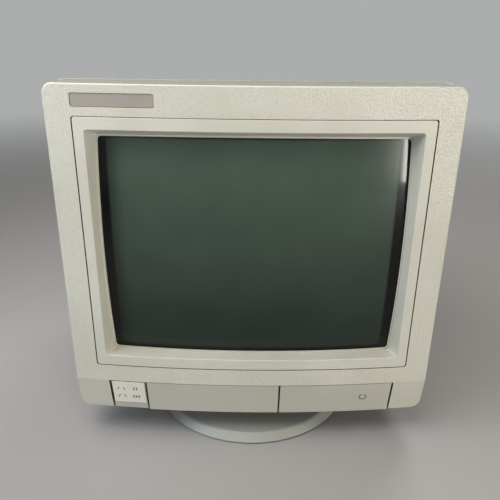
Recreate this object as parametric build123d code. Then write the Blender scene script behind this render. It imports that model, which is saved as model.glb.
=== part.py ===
from build123d import *
import math
import os

# A desktop display terminal: a 14-inch CRT head on a round tilt and swivel base.
# Millimetres. +X is right seen from the front, +Y is back, +Z is up, and the desk is at zero.

# Overall size
face_width = 335.0
face_height = 308.2
face_lift = 32.4
overall_depth = 320.0
bezel_depth = 40.0
crown_radius = 1300.0
chin_height = 36.7
chin_lean = 7.8
face_corner_radius = 9.0
face_edge_radius = 1.4
shell_wall = 3.0
overrun = 1.0
seat_gap = 0.3

# Screen surround and funnel
seam_side_inset = 21.6
seam_top_drop = 24.95
seam_bottom_rise = 16.9
seam_radius = 2.5
seam_gap = 0.5
seam_side_gap = 0.9
mouth_side_inset = 31.1
mouth_top_drop = 35.5
mouth_bottom_rise = 28.0
mouth_radius = 3.0
funnel_side_slope_share = 0.37
funnel_top_slope_share = 0.39
funnel_bottom_slope_share = 0.02
lip_width = 1.1
lip_wall = 1.5
surround_wall = 2.5
surround_edge_radius = 0.5
mouth_edge_radius = 0.6
surround_flange = 4.0
surround_flange_wall = 2.0

# Cathode ray tube
tube_drop = 1.6
tube_setback = 9.3
screen_radius = 950.0
glass_gap = 0.6
glass_side_cover = 14.6
glass_height_cover = 14.0
glass_corner_radius = 22.0
glass_front_wall = 9.0
glass_side_wall = 8.0
glass_skirt_depth = 52.0
funnel_glass_wall = 4.0
frit_gap = 0.1
neck_radius = 14.55
neck_wall = 1.5
neck_end_gap = 58.0
neck_length = 76.0
neck_overlap = 4.0
bulb_depth_shares = (0.0, 0.289, 0.565, 0.811, 1.0)
bulb_width_shares = (1.0, 0.86, 0.60, 0.30, 0.112)
bulb_height_shares = (1.0, 0.88, 0.66, 0.36, 0.143)
bulb_corner_shares = (0.19, 0.50, 0.80, 0.95, 0.98)

# Rim band and the screws that hold the tube in the bezel
band_wall = 1.5
band_start_depth = 31.0
band_end_depth = 50.0
lug_half_width = 8.0
lug_wall = 2.0
lug_depth = 33.0
lug_side_reach = 2.5
lug_height_reach = 3.5
tube_boss_radius = 5.5
tube_screw_radius = 2.0
tube_screw_length = 14.0
screw_head_share = 2.2
screw_head_height_share = 1.3
hole_play = 0.1

# Chin cells
cell_side_inset = 32.5
control_cell_width = 34.6
button_cell_share = 0.3239
slot_width = 1.8
cap_wall = 2.2
cap_depth = 19.4
cap_top_gap = 0.5
pocket_depth = 24.0
pocket_wall = 2.5
label_setback = 1.2
label_raise = 0.8
label_side_inset = 2.0
label_slot_inset = 1.5
label_top_drop = 0.8
label_bottom_drop = 27.5
label_corner_radius = 1.0
peg_radius = 3.0
peg_inset = 22.0

# Name plate
badge_side_inset = 22.2
badge_width = 66.8
badge_top_drop = 7.2
badge_bottom_drop = 17.9
badge_depth = 1.3
badge_setback = 0.6
badge_radius = 1.8

# Power button, its rod, spring and switch
button_travel = 3.0
button_rise = 18.4
guide_radius = 2.5
guide_inset = 20.0
guide_play = 0.35
guide_collar_radius = 3.6
guide_collar_length = 2.0
rod_radius = 2.6
spring_seat_radius = 8.0
spring_seat_depth = 11.5
spring_radius = 5.6
spring_wire_radius = 0.5
spring_turns = 4.0
plunger_radius = 2.0
plunger_reach = 3.0
plunger_play = 1.0
switch_post_radius = 3.5
switch_post_spacing = 28.0
switch_depth = 36.0
switch_plate_wall = 2.0
switch_plate_half_height = 8.0
switch_plate_half_width = 19.0
switch_body_length = 20.0
switch_body_half_width = 9.0
switch_body_half_height = 7.0
switch_bore_depth = 8.0

# Thumbwheels and their controls
wheel_radius = 9.5
wheel_width = 6.0
wheel_teeth = 24
wheel_tooth_depth = 0.7
wheel_cover = 19.0
wheel_height = 44.0
wheel_side_inset = 10.5
wheel_pitch = 13.5
wheel_play = 0.8
shaft_radius = 2.0
shaft_play = 0.06
shaft_length = 11.5
pot_gap = 3.5
pot_length = 11.0
pot_half_depth = 5.5
pot_drop = 6.0
control_board_height = 58.0
board_wall = 1.6
control_board_half_length = 25.5
control_board_half_depth = 6.5
control_rib_width = 4.0
control_rib_height = 6.0
control_rib_inset = 8.0
window_half_width = 25.6

# Tilt dome and the bowl in the base
base_setback = 104.7
tilt_centre_height = 130.0
dome_radius = 110.0
dome_wall = 3.5
dome_rim_radius = 62.0
dome_play = 0.3
tilt_up = 15.0
tilt_down = 5.0
slot_play = 0.25
slot_end_play = 1.2
ear_count = 4
ear_radius = 76.0
ear_half_width = 9.0
ear_wall = 3.0
ear_screw_radius = 69.0
small_screw_radius = 1.75
small_screw_length = 8.0

# Base
base_radius = 104.6
base_edge_radius = 98.0
base_edge_height = 8.4
base_top_rise = 1.2
base_rim_round = 0.9
base_skirt_lift = 1.6
base_wall = 3.0
hub_foot_radius = 56.0
hub_top_radius = 36.0
bowl_rim_radius = 33.5
pad_wall = 1.5
pad_radius = 6.0
pad_ring_radius = 23.0
pad_count = 4
foot_radius = 8.0
foot_ring_radius = 86.0
foot_socket_wall = 2.0
foot_count = 4
rib_count = 12
rib_width = 2.0
bore_play = 0.05

# Swivel pieces on the pivot bolt
bolt_radius = 5.0
neck_flat_half = 4.0
bolt_head_radius = 9.0
bolt_head_height = 5.0
stop_radius = 22.0
stop_wall = 2.0
stop_tab_reach = 7.0
stop_tab_half_width = 3.0
stop_post_radius = 2.25
stop_post_length = 4.0
saddle_half_width = 12.0
saddle_half_length = 11.0
saddle_thickness = 3.4
wave_wall = 1.4
nut_radius = 8.5
nut_height = 6.0
bolt_tip = 2.0

# Rear housing
housing_overlap = 4.0
housing_side_gap = 0.3
housing_lip_rise = 0.8
housing_lip_length = 3.0
housing_side_inset = 7.5
housing_side_gap_back = 200.0
housing_rise_clearance = 5.3
housing_back_rise = 62.0
housing_back_drop = 110.6
housing_hump_gap = 112.0
housing_hump_drop = 22.6
housing_edge_radius = 6.0
housing_inner_radius = 4.0
top_slot_count = 19
top_slot_pitch = 10.0
top_slot_width = 4.0
top_slot_start_depth = 70.0
top_slot_end_gap = 28.0
back_slot_rows = 9
back_slot_pitch = 10.0
back_slot_height = 4.0
back_slot_half_width = 26.0
back_slot_gap = 8.0
back_slot_drop = 102.0
side_slot_count = 12
side_slot_pitch = 9.0
side_slot_width = 4.0
side_slot_low = 62.0
side_slot_high = 92.0
side_slot_depth = 90.0
window_side_inset = 12.0
window_low = 70.0
window_high = 112.0
housing_boss_radius = 5.0
housing_well_radius = 6.5
housing_screw_top_inset = 67.5
housing_screw_top_drop = 11.6
housing_screw_side_inset = 17.5
housing_screw_side_rise = 19.6
housing_screw_length = 18.0
well_floor = 8.0

# Chassis, boards and what stands on them
tray_height = 66.0
tray_wall = 1.2
tray_side_inset = 12.0
tray_front_depth = 62.0
tray_back_gap = 12.0
tray_lip = 8.0
tray_post_x = 70.0
tray_post_radius = 5.0
tray_post_inset = 14.0
standoff_height = 6.0
standoff_radius = 3.0
main_board_left_inset = 5.0
main_board_right_inset = 16.0
main_board_inset = 5.0
board_screw_inset = 6.0
board_back_inset = 22.0
power_board_inset = 9.0
power_board_back_gap = 30.0
power_board_rise = 2.0
power_board_drop = 12.3
guide_half = 4.0
guide_height = 12.0
chip_rise = 0.5
chip_height = 4.2
large_chip_length = 52.0
large_chip_width = 14.0
medium_chip_length = 36.0
small_chip_length = 20.0
small_chip_width = 7.0
chip_pitch = 24.0
small_capacitor_radius = 4.0
small_capacitor_height = 12.0
small_capacitor_pitch = 14.0
small_capacitor_count = 5
beeper_radius = 11.0
beeper_height = 9.0
flyback_width = 40.0
flyback_depth = 44.0
flyback_height = 52.0
flyback_rise = 22.0
flyback_back_gap = 102.0
flyback_core = 9.0
transformer_width = 36.0
transformer_depth = 38.0
transformer_height = 34.0
transformer_back_gap = 46.0
heat_sink_wall = 3.0
heat_sink_length = 50.0
heat_sink_height = 70.0
heat_sink_start = 4.0
fin_count = 6
fin_reach = 12.0
fin_wall = 1.6
filter_radius = 11.0
filter_length = 32.0
filter_back_gap = 66.0
filter_pitch = 27.0
filter_drop = 52.0

# Neck of the tube
yoke_lead = 14.0
yoke_length = 44.0
yoke_front_radius = 53.0
yoke_back_radius = 25.0
yoke_clearance = 1.0
yoke_flange = 3.0
core_wall = 6.0
clamp_length = 8.0
clamp_radius = 19.0
clamp_ear = 8.0
ring_radius = 23.0
ring_wall = 2.0
ring_gap = 0.4
ring_tab = 9.0
ring_tab_half = 3.0
ring_tab_turn = 20.0
gun_radius = 9.5
gun_length = 46.0
gun_grids = 5
gun_grid_radius = 12.0
gun_grid_wall = 2.0
pin_count = 8
pin_radius = 0.6
pin_ring_radius = 7.6
pin_length = 8.0
socket_radius = 17.0
socket_length = 10.0
stem_length = 3.3
neck_board_half_width = 38.0
neck_board_half_height = 33.0
anode_lift = 3.0
anode_radius = 13.0
anode_wall = 2.2
anode_crown_radius = 6.0
anode_crown_height = 5.0
lead_radius = 2.2
lead_bend_share = 0.45

# Rear connectors
plate_wall = 1.2
plate_depth_gap = 12.0
plate_side_inset = 2.0
plate_low = 70.5
plate_high = 111.0
port_height = 86.0
port_jack_pitch = 35.5
port_pitch = 64.0
port_flange_half_width = 26.5
port_flange_half_height = 6.2
port_flange_wall = 1.0
port_shell_half_width = 19.4
port_shell_half_height = 4.2
port_shell_reach = 5.8
port_shell_taper = 1.6
port_body_length = 10.0
port_pin_pitch = 2.76
port_pin_rise = 1.42
upper_pin_count = 13
lower_pin_count = 12
jack_spacing = 47.04
jack_radius = 2.7
jack_bore_radius = 1.4
jack_reach = 5.0
inlet_side_inset = 30.0
inlet_port_pitch = 52.0
inlet_height = 90.0
inlet_half_width = 14.0
inlet_half_height = 10.4
inlet_flange = 2.0
inlet_flange_wall = 2.0
inlet_recess_half_width = 12.2
inlet_recess_half_height = 8.5
inlet_recess_depth = 16.0
inlet_body_length = 22.0
inlet_pin_half_width = 2.0
inlet_pin_half_height = 1.0
inlet_pin_spacing = 7.0
inlet_pin_rise = 2.0
inlet_pin_drop = 1.0
inlet_pin_length = 12.0
key_jack_side_inset = 22.5
key_jack_height = 84.0
key_jack_half_width = 7.5
key_jack_half_height = 7.5
key_jack_length = 14.0
key_jack_hole_half_width = 5.0
key_jack_hole_half_height = 3.6
key_jack_hole_depth = 11.0

# Places that follow from the sizes
y_crown = -overall_depth / 2
y_back = overall_depth / 2
y_bezel_back = y_crown + bezel_depth
bow_axis_y = y_crown + crown_radius
z_foot = face_lift
z_crease = face_lift + chin_height
z_top = face_lift + face_height
z_seam_top = z_top - seam_top_drop
z_seam_bottom = z_crease + seam_bottom_rise
z_mouth_top = z_top - mouth_top_drop
z_mouth_bottom = z_crease + mouth_bottom_rise
base_y = y_crown + base_setback
dome_rim_height = tilt_centre_height - math.sqrt(dome_radius**2 - dome_rim_radius**2)
dome_inner_radius = dome_radius - dome_wall
pad_face_radius = dome_radius + dome_play
bowl_radius = pad_face_radius + pad_wall
bowl_rim_height = tilt_centre_height - math.sqrt(bowl_radius**2 - bowl_rim_radius**2)
seam_half_width = face_width / 2 - seam_side_inset
mouth_half_width = face_width / 2 - mouth_side_inset
glass_half_width = mouth_half_width + glass_side_cover
glass_half_height = (z_mouth_top - z_mouth_bottom) / 2 + glass_height_cover
tube_height = (z_mouth_top + z_mouth_bottom) / 2 - tube_drop
lug_x = glass_half_width + lug_side_reach
lug_rise = glass_half_height + lug_height_reach
neck_end_depth = overall_depth - neck_end_gap
neck_start_depth = neck_end_depth - neck_length
bulb_start_depth = glass_skirt_depth + frit_gap
bulb_length = neck_start_depth + neck_overlap - bulb_start_depth
bulb_depths = [bulb_start_depth + share * bulb_length for share in bulb_depth_shares]
yoke_start_depth = neck_start_depth - yoke_lead
yoke_end_depth = yoke_start_depth + yoke_length
anode_side_depth = (bulb_depths[1] + bulb_depths[2]) / 2 - anode_lift
cell_edge = face_width / 2 - cell_side_inset
cell_first = control_cell_width - cell_edge
cell_second = cell_edge - button_cell_share * face_width
label_left = label_side_inset - cell_edge
label_right = cell_first - label_slot_inset
badge_left = badge_side_inset - face_width / 2
badge_right = badge_left + badge_width
cell_sag = crown_radius - math.sqrt(crown_radius**2 - cell_edge**2)
wheel_depth = cell_sag + wheel_cover
wheel_first_x = wheel_side_inset - cell_edge
wheel_second_x = wheel_first_x + wheel_pitch
button_left = cell_second + slot_width / 2
button_right = cell_edge - slot_width / 2
button_middle = (button_left + button_right) / 2
button_height = z_crease - button_rise
y_housing_front = y_bezel_back - housing_overlap
housing_side_far = face_width / 2 - housing_side_inset
housing_side_far_depth = overall_depth - housing_side_gap_back
plate_width = (
    inlet_side_inset + inlet_port_pitch + port_pitch + port_jack_pitch + key_jack_side_inset
)
plate_half_width = plate_width / 2
window_half = plate_half_width + plate_side_inset
housing_back_half_width = window_half + window_side_inset
housing_rise_depth = base_setback + dome_rim_radius + housing_rise_clearance
housing_back_top = z_top - housing_back_drop
housing_hump_depth = overall_depth - housing_hump_gap
housing_hump_height = z_top - housing_hump_drop
housing_screw_top_x = face_width / 2 - housing_screw_top_inset
housing_screw_side_x = face_width / 2 - housing_screw_side_inset
top_slot_end_depth = housing_hump_depth - top_slot_end_gap
back_slot_low = housing_back_top - back_slot_drop
tray_half_width = housing_back_half_width - tray_side_inset
tray_back_y = y_back - tray_back_gap
plate_y = y_back - plate_depth_gap
main_board_height = tray_height + tray_wall + standoff_height
main_board_top = main_board_height + board_wall
main_board_left = main_board_left_inset - tray_half_width
main_board_right = tray_half_width - main_board_right_inset
power_board_x = tray_half_width - power_board_inset
power_board_back_depth = overall_depth - power_board_back_gap
power_board_front_depth = bulb_depths[2]
flyback_start_depth = power_board_back_depth - flyback_back_gap
transformer_start_depth = power_board_back_depth - transformer_back_gap
heat_sink_start_depth = power_board_front_depth + heat_sink_start
filter_depth = power_board_back_depth - filter_back_gap
inlet_x = inlet_side_inset - plate_half_width
port_second_x = inlet_x + inlet_port_pitch
port_first_x = port_second_x + port_pitch
key_jack_x = port_first_x + port_jack_pitch


def depth(distance):
    """The place that lies this far behind the crown of the face."""
    return y_crown + distance


def block(x_from, x_to, y_from, y_to, z_from, z_to):
    """A box between two limits on each axis."""
    box = Box(x_to - x_from, y_to - y_from, z_to - z_from)
    return Pos((x_from + x_to) / 2, (y_from + y_to) / 2, (z_from + z_to) / 2) * box


def rod_x(x_from, x_to, y, z, radius):
    """A round bar along X."""
    return Pos((x_from + x_to) / 2, y, z) * Rot(0, 90, 0) * Cylinder(radius, x_to - x_from)


def rod_y(x, y_from, y_to, z, radius):
    """A round bar along Y."""
    return Pos(x, (y_from + y_to) / 2, z) * Rot(90, 0, 0) * Cylinder(radius, y_to - y_from)


def rod_z(x, y, z_from, z_to, radius):
    """A round bar along Z."""
    return Pos(x, y, (z_from + z_to) / 2) * Cylinder(radius, z_to - z_from)


def slab(half_width, y_from, y_to, z_from, z_to, radius):
    """A slab whose four front-to-back edges are rounded."""
    middle = Plane((0, y_from, (z_from + z_to) / 2), x_dir=(1, 0, 0), z_dir=(0, 1, 0))
    outline = middle * RectangleRounded(2 * half_width, z_to - z_from, radius)
    return extrude(outline, y_to - y_from)


def around_tube(profile):
    """A ring turned about the tube's axis from (depth, radius) points."""
    points = [(0, depth(along), tube_height + radius) for along, radius in profile]
    face = make_face(Polyline(*points, close=True))
    return revolve(face, Axis((0, 0, tube_height), (0, 1, 0)))


def bowed_form(setback):
    """All that lies behind the bowed face: a cylinder above the crease, a cone on the chin."""
    upper_height = z_top - z_crease
    upper = Cylinder(crown_radius - setback, upper_height)
    lower = Cone(crown_radius - chin_lean - setback, crown_radius - setback, chin_height)
    upper = Pos(0, bow_axis_y, z_crease + upper_height / 2) * upper
    lower = Pos(0, bow_axis_y, z_foot + chin_height / 2) * lower
    return upper + lower


def funnel_form(grow):
    """The opening that narrows from the face to the glass, grown by a wall."""
    reach = tube_setback + bezel_depth
    top = z_mouth_top + grow
    bottom = z_mouth_bottom - grow
    top_shift = funnel_top_slope_share * reach
    bottom_shift = funnel_bottom_slope_share * reach
    outer = crown_radius + overrun
    inner = crown_radius - reach
    profile = [
        (outer, top + funnel_top_slope_share * overrun),
        (inner, top - top_shift),
        (inner, bottom + bottom_shift),
        (outer, bottom - funnel_bottom_slope_share * overrun),
    ]
    points = [(0, bow_axis_y + radius, height) for radius, height in profile]
    ring = revolve(make_face(Polyline(*points, close=True)), Axis((0, bow_axis_y, 0), (0, 0, 1)))
    side_sag = crown_radius - math.sqrt(crown_radius**2 - mouth_half_width**2)
    wide = mouth_half_width + grow + funnel_side_slope_share * side_sag
    narrow = wide - funnel_side_slope_share * reach
    corners = [
        (-wide, y_crown, z_foot),
        (wide, y_crown, z_foot),
        (narrow, depth(reach), z_foot),
        (-narrow, depth(reach), z_foot),
    ]
    wedge = extrude(make_face(Polyline(*corners, close=True)), z_top - z_foot, dir=(0, 0, 1))
    form = wedge & ring
    long_edges = form.edges().filter_by(lambda edge: edge.bounding_box().size.Y > reach / 2)
    return fillet(long_edges, mouth_radius)


def glass_sphere(radius):
    """A ball concentric with the curved face of the tube."""
    return Pos(0, depth(tube_setback + screen_radius), tube_height) * Sphere(radius)


def turned_about_tilt(radius):
    """A ball about the centre of the tilt."""
    return Pos(0, base_y, tilt_centre_height) * Sphere(radius)


def hex_bar(y_from, y_to, x, z, radius):
    """A six-sided bar along Y."""
    start = Plane((x, y_from, z), x_dir=(1, 0, 0), z_dir=(0, 1, 0))
    return extrude(start * RegularPolygon(radius, 6), y_to - y_from)


def screw_y(x, y_seat, z, radius, length, way):
    """A screw along Y that enters its seat in the given way, plus or minus."""
    head = radius * screw_head_share
    height = radius * screw_head_height_share
    shank_end = y_seat + way * length
    head_end = y_seat - way * height
    shank = rod_y(x, min(y_seat, shank_end), max(y_seat, shank_end), z, radius)
    return shank + hex_bar(min(y_seat, head_end), max(y_seat, head_end), x, z, head)


def screw_z(x, y, z_seat, radius, length):
    """A screw that enters its seat from above."""
    head = radius * screw_head_share
    height = radius * screw_head_height_share
    return rod_z(x, y, z_seat - length, z_seat, radius) + rod_z(x, y, z_seat, z_seat + height, head)


def tube_screw_places():
    """Where the four corner screws of the tube stand."""
    return [(sx * lug_x, tube_height + sz * lug_rise) for sx in (-1, 1) for sz in (-1, 1)]


def housing_screw_places():
    """Where the four screws of the rear housing stand."""
    high = z_top - housing_screw_top_drop
    low = z_foot + housing_screw_side_rise
    places = [(sx * housing_screw_top_x, high) for sx in (-1, 1)]
    return places + [(sx * housing_screw_side_x, low) for sx in (-1, 1)]


def front_bezel():
    """The front moulding: bowed plate, side walls, chin pocket and screw bosses."""
    outer = slab(face_width / 2, y_crown, y_bezel_back, z_foot, z_top, face_corner_radius)
    outer = outer & bowed_form(0)
    front_edges = outer.edges().filter_by(
        lambda edge: edge.bounding_box().max.Y < y_bezel_back - overrun
        and abs(edge.bounding_box().size.Y - bezel_depth) > chin_lean
    )
    front_edges = front_edges.filter_by(
        lambda edge: not (
            edge.bounding_box().min.Z > z_crease - overrun
            and edge.bounding_box().max.Z < z_crease + overrun
        )
    )
    outer = fillet(front_edges, face_edge_radius)
    hollow = slab(
        face_width / 2 - shell_wall,
        y_crown,
        y_bezel_back + overrun,
        z_foot + shell_wall,
        z_top - shell_wall,
        face_corner_radius - shell_wall,
    )
    shell = outer - (hollow & bowed_form(shell_wall))
    pocket_edge = cell_edge + slot_width / 2
    pocket = block(
        -pocket_edge, pocket_edge, y_crown, depth(pocket_depth), z_foot - overrun, z_crease
    )
    frame_edge = pocket_edge + pocket_wall
    frame = block(
        -frame_edge,
        frame_edge,
        y_crown,
        depth(pocket_depth + pocket_wall),
        z_foot,
        z_crease + pocket_wall,
    )
    shell = shell + (frame & bowed_form(shell_wall / 2))
    for x, z in tube_screw_places():
        shell += rod_y(x, y_crown, depth(lug_depth), z, tube_boss_radius) & bowed_form(shell_wall / 2)
    for x, z in housing_screw_places():
        boss = rod_y(x, y_crown, y_housing_front, z, housing_boss_radius)
        shell += boss & bowed_form(shell_wall / 2)
    sill_edge = face_width / 2 - shell_wall
    shell += block(
        -sill_edge,
        sill_edge,
        y_housing_front,
        y_bezel_back,
        z_foot + shell_wall / 2,
        dome_rim_height - seat_gap,
    )
    post_y = depth(pocket_depth + pocket_wall / 2)
    for side in (-1, 1):
        x = button_middle + side * switch_post_spacing / 2
        shell += rod_y(x, post_y, depth(switch_depth), button_height, switch_post_radius)
    rib_low = control_board_height + board_wall
    for side in (-1, 1):
        x = wheel_middle() + side * (control_board_half_length - control_rib_inset)
        shell += block(
            x - control_rib_width / 2,
            x + control_rib_width / 2,
            post_y,
            depth(wheel_depth + control_board_half_depth),
            rib_low,
            rib_low + control_rib_height,
        )
    shell -= pocket
    shell -= slab(seam_half_width, y_crown, depth(pocket_depth), z_seam_bottom, z_seam_top, seam_radius)
    shell -= badge_form(badge_depth, 0)
    shell -= control_window()
    for x in peg_places() + guide_places():
        radius = peg_radius if x in peg_places() else guide_radius + guide_play
        hole_play_here = hole_play if x in peg_places() else 0
        shell -= rod_y(
            x,
            depth(pocket_depth - overrun),
            depth(pocket_depth + pocket_wall + overrun),
            button_height,
            radius + hole_play_here,
        )
    shell -= rod_y(
        button_middle,
        depth(pocket_depth - overrun),
        depth(pocket_depth + pocket_wall + overrun),
        button_height,
        rod_radius + guide_play,
    )
    for x, z in tube_screw_places():
        bore_end = lug_depth - tube_screw_length
        shell -= rod_y(x, depth(bore_end), depth(lug_depth + overrun), z, tube_screw_radius + hole_play)
    for x, z in housing_screw_places():
        bore_start = y_housing_front - housing_screw_length + well_floor - overrun
        bore_radius = small_screw_radius + hole_play
        shell -= rod_y(x, bore_start, y_housing_front + overrun, z, bore_radius)
    for side in (-1, 1):
        x = button_middle + side * switch_post_spacing / 2
        shell -= rod_y(
            x,
            depth(switch_depth - small_screw_length),
            depth(switch_depth + overrun),
            button_height,
            small_screw_radius + hole_play,
        )
    return shell


def wheel_middle():
    """The middle between the two thumbwheels."""
    return (wheel_first_x + wheel_second_x) / 2


def control_window():
    """What is cut from the bezel for the thumbwheels and their controls."""
    middle = wheel_middle()
    low = wheel_height - wheel_radius - wheel_play
    behind = block(
        middle - window_half_width,
        middle + window_half_width,
        depth(wheel_depth - control_board_half_depth),
        depth(pocket_depth + pocket_wall + overrun),
        low,
        control_board_height + board_wall + seat_gap,
    )
    notch_half = (wheel_second_x - wheel_first_x) / 2 + wheel_width / 2 + wheel_play
    notch = block(
        middle - notch_half,
        middle + notch_half,
        depth(pocket_depth - overrun),
        depth(wheel_depth + wheel_radius + wheel_play),
        z_foot - overrun,
        z_foot + shell_wall + overrun,
    )
    return behind + notch


def peg_places():
    """Where the pegs of the blank panel and the control panel pass the pocket wall."""
    return [cell_first + peg_inset, cell_second - peg_inset]


def guide_places():
    """Where the guide pins of the power button pass the pocket wall."""
    return [button_left + guide_inset, button_right - guide_inset]


def badge_form(thickness, setback):
    """A thin bowed plate in the place of the name plate."""
    gap = setback / 2
    plate = slab(
        (badge_right - badge_left) / 2 - gap,
        y_crown,
        depth(bezel_depth / 2),
        z_top - badge_bottom_drop + gap,
        z_top - badge_top_drop - gap,
        badge_radius,
    )
    plate = Pos((badge_left + badge_right) / 2, 0, 0) * plate
    return (plate & bowed_form(setback)) - bowed_form(thickness)


def name_plate():
    """The bare plate, a little below the rim of its recess."""
    return badge_form(badge_depth, badge_setback)


def mouth_edges(ring):
    """The edges where the opening meets the bowed face."""
    limit_x = mouth_half_width + surround_wall
    limit_y = depth(crown_radius - math.sqrt(crown_radius**2 - mouth_half_width**2)) + overrun
    edges = []
    for edge in ring.edges():
        box = edge.bounding_box()
        inside = box.min.X > -limit_x and box.max.X < limit_x
        inside = inside and box.min.Z > z_mouth_bottom - overrun and box.max.Z < z_mouth_top + overrun
        if inside and box.max.Y < limit_y and on_bow(edge):
            edges.append(edge)
    return edges


def on_bow(edge):
    """Whether both ends and the middle of an edge lie on the bowed face."""
    for share in (0, 1 / 2, 1):
        point = edge @ share
        if abs(math.hypot(point.X, point.Y - bow_axis_y) - crown_radius) > surround_edge_radius / 4:
            return False
    return True


def screen_surround():
    """The moulded ring between the bezel and the glass, hollow from behind."""
    half = seam_half_width - seam_side_gap
    low = z_seam_bottom + seam_gap
    high = z_seam_top - seam_gap
    ring = slab(half, y_crown, y_bezel_back, low, high, seam_radius) & bowed_form(0)
    front = ring.edges().filter_by(lambda edge: edge.bounding_box().max.Y < y_bezel_back - overrun)
    front = front.filter_by(lambda edge: edge.bounding_box().size.Y < bezel_depth / 2)
    ring = fillet(front, surround_edge_radius)
    pocket = slab(
        half - surround_wall,
        y_crown,
        y_bezel_back,
        low + surround_wall,
        high - surround_wall,
        seam_radius,
    )
    pocket = (pocket & bowed_form(surround_wall)) - funnel_form(surround_wall)
    flange = slab(
        seam_half_width + surround_flange,
        y_crown,
        y_bezel_back,
        z_seam_bottom - surround_flange,
        z_seam_top + surround_flange,
        seam_radius + surround_flange,
    )
    flange_front = shell_wall + seat_gap
    flange = (flange & bowed_form(flange_front)) - bowed_form(flange_front + surround_flange_wall)
    flange -= slab(half - surround_wall / 2, y_crown, y_bezel_back, low, high, seam_radius)
    lip_front = glass_sphere(screen_radius + glass_gap + lip_wall)
    ring = ring - (funnel_form(0) - lip_front)
    ring = fillet(mouth_edges(ring), mouth_edge_radius)
    ring = ring - pocket + flange
    return ring - funnel_form(-lip_width) - glass_sphere(screen_radius + glass_gap)


def chin_cap(x_from, x_to, setback):
    """A shallow box that fills one cell of the chin."""
    high = z_crease - cap_top_gap
    body = block(x_from, x_to, y_crown, depth(cap_depth), z_foot, high) & bowed_form(setback)
    hollow = block(
        x_from + cap_wall,
        x_to - cap_wall,
        y_crown,
        depth(cap_depth + overrun),
        z_foot + cap_wall,
        high - cap_wall,
    )
    return body - (hollow & bowed_form(setback + cap_wall))


def peg(x, radius, reach, setback):
    """A pin behind a chin panel."""
    return rod_y(x, y_crown, depth(reach), button_height, radius) & bowed_form(setback + cap_wall / 2)


def blank_panel():
    """The middle cell of the chin, held by two pegs."""
    left = cell_first + slot_width / 2
    right = cell_second - slot_width / 2
    panel = chin_cap(left, right, 0)
    for x in peg_places():
        panel += peg(x, peg_radius, pocket_depth + pocket_wall + seat_gap, 0)
    return panel


def control_panel():
    """The left cell of the chin, open below for the thumbwheels."""
    left = -cell_edge + slot_width / 2
    right = cell_first - slot_width / 2
    panel = chin_cap(left, right, label_setback)
    for x in (wheel_first_x, wheel_second_x):
        half = wheel_width / 2 + wheel_play
        panel -= block(
            x - half,
            x + half,
            depth(wheel_depth - wheel_radius - wheel_play),
            depth(cap_depth + overrun),
            z_foot - overrun,
            z_foot + cap_wall + overrun,
        )
    tab_low = wheel_height + wheel_radius + wheel_play
    tab = block(
        left, right, depth(cap_depth - overrun), depth(pocket_depth), tab_low, z_crease - cap_top_gap
    )
    tab -= block(
        left + cap_wall,
        right - cap_wall,
        depth(cap_depth - overrun - overrun),
        depth(pocket_depth + overrun),
        tab_low - overrun,
        z_crease - cap_top_gap - cap_wall,
    )
    window_top = control_board_height + board_wall + seat_gap
    tab = tab & block(left, right, y_crown, y_back, window_top, z_crease)
    return panel + tab


def control_label():
    """The raised label plate of the left cell."""
    plate = slab(
        (label_right - label_left) / 2,
        y_crown,
        depth(pocket_depth),
        z_crease - label_bottom_drop,
        z_crease - label_top_drop,
        label_corner_radius,
    )
    plate = Pos((label_left + label_right) / 2, 0, 0) * plate
    return (plate & bowed_form(-label_raise)) - bowed_form(label_setback)


def power_button():
    """The wide right cell of the chin, on two guide pins, with a seat for its spring."""
    button = chin_cap(button_left, button_right, 0)
    wall_back = pocket_depth + pocket_wall
    for x in guide_places():
        button += peg(x, guide_radius, wall_back + seat_gap, 0)
        button += rod_y(
            x,
            depth(wall_back + seat_gap),
            depth(wall_back + seat_gap + guide_collar_length),
            button_height,
            guide_collar_radius,
        )
    button += peg(button_middle, spring_seat_radius, spring_seat_depth, 0)
    return button


def push_rod():
    """The rod from the button to the switch, with the plunger at its end."""
    shoulder = switch_depth - button_travel - seat_gap - plunger_play
    rod = rod_y(button_middle, depth(spring_seat_depth), depth(shoulder), button_height, rod_radius)
    tip = rod_y(
        button_middle, depth(shoulder), depth(switch_depth + plunger_reach), button_height, plunger_radius
    )
    return rod + tip


def button_spring():
    """The return spring between the button and the pocket wall."""
    start = depth(spring_seat_depth) + spring_wire_radius + seat_gap
    end = depth(pocket_depth) - spring_wire_radius - seat_gap
    length = end - start
    path = Helix(length / spring_turns, length, spring_radius)
    wire = Plane(path @ 0, z_dir=path % 0) * RegularPolygon(spring_wire_radius, 6)
    coil = sweep(wire, path, is_frenet=True)
    return Pos(button_middle, start, button_height) * Rot(-90, 0, 0) * coil


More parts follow.
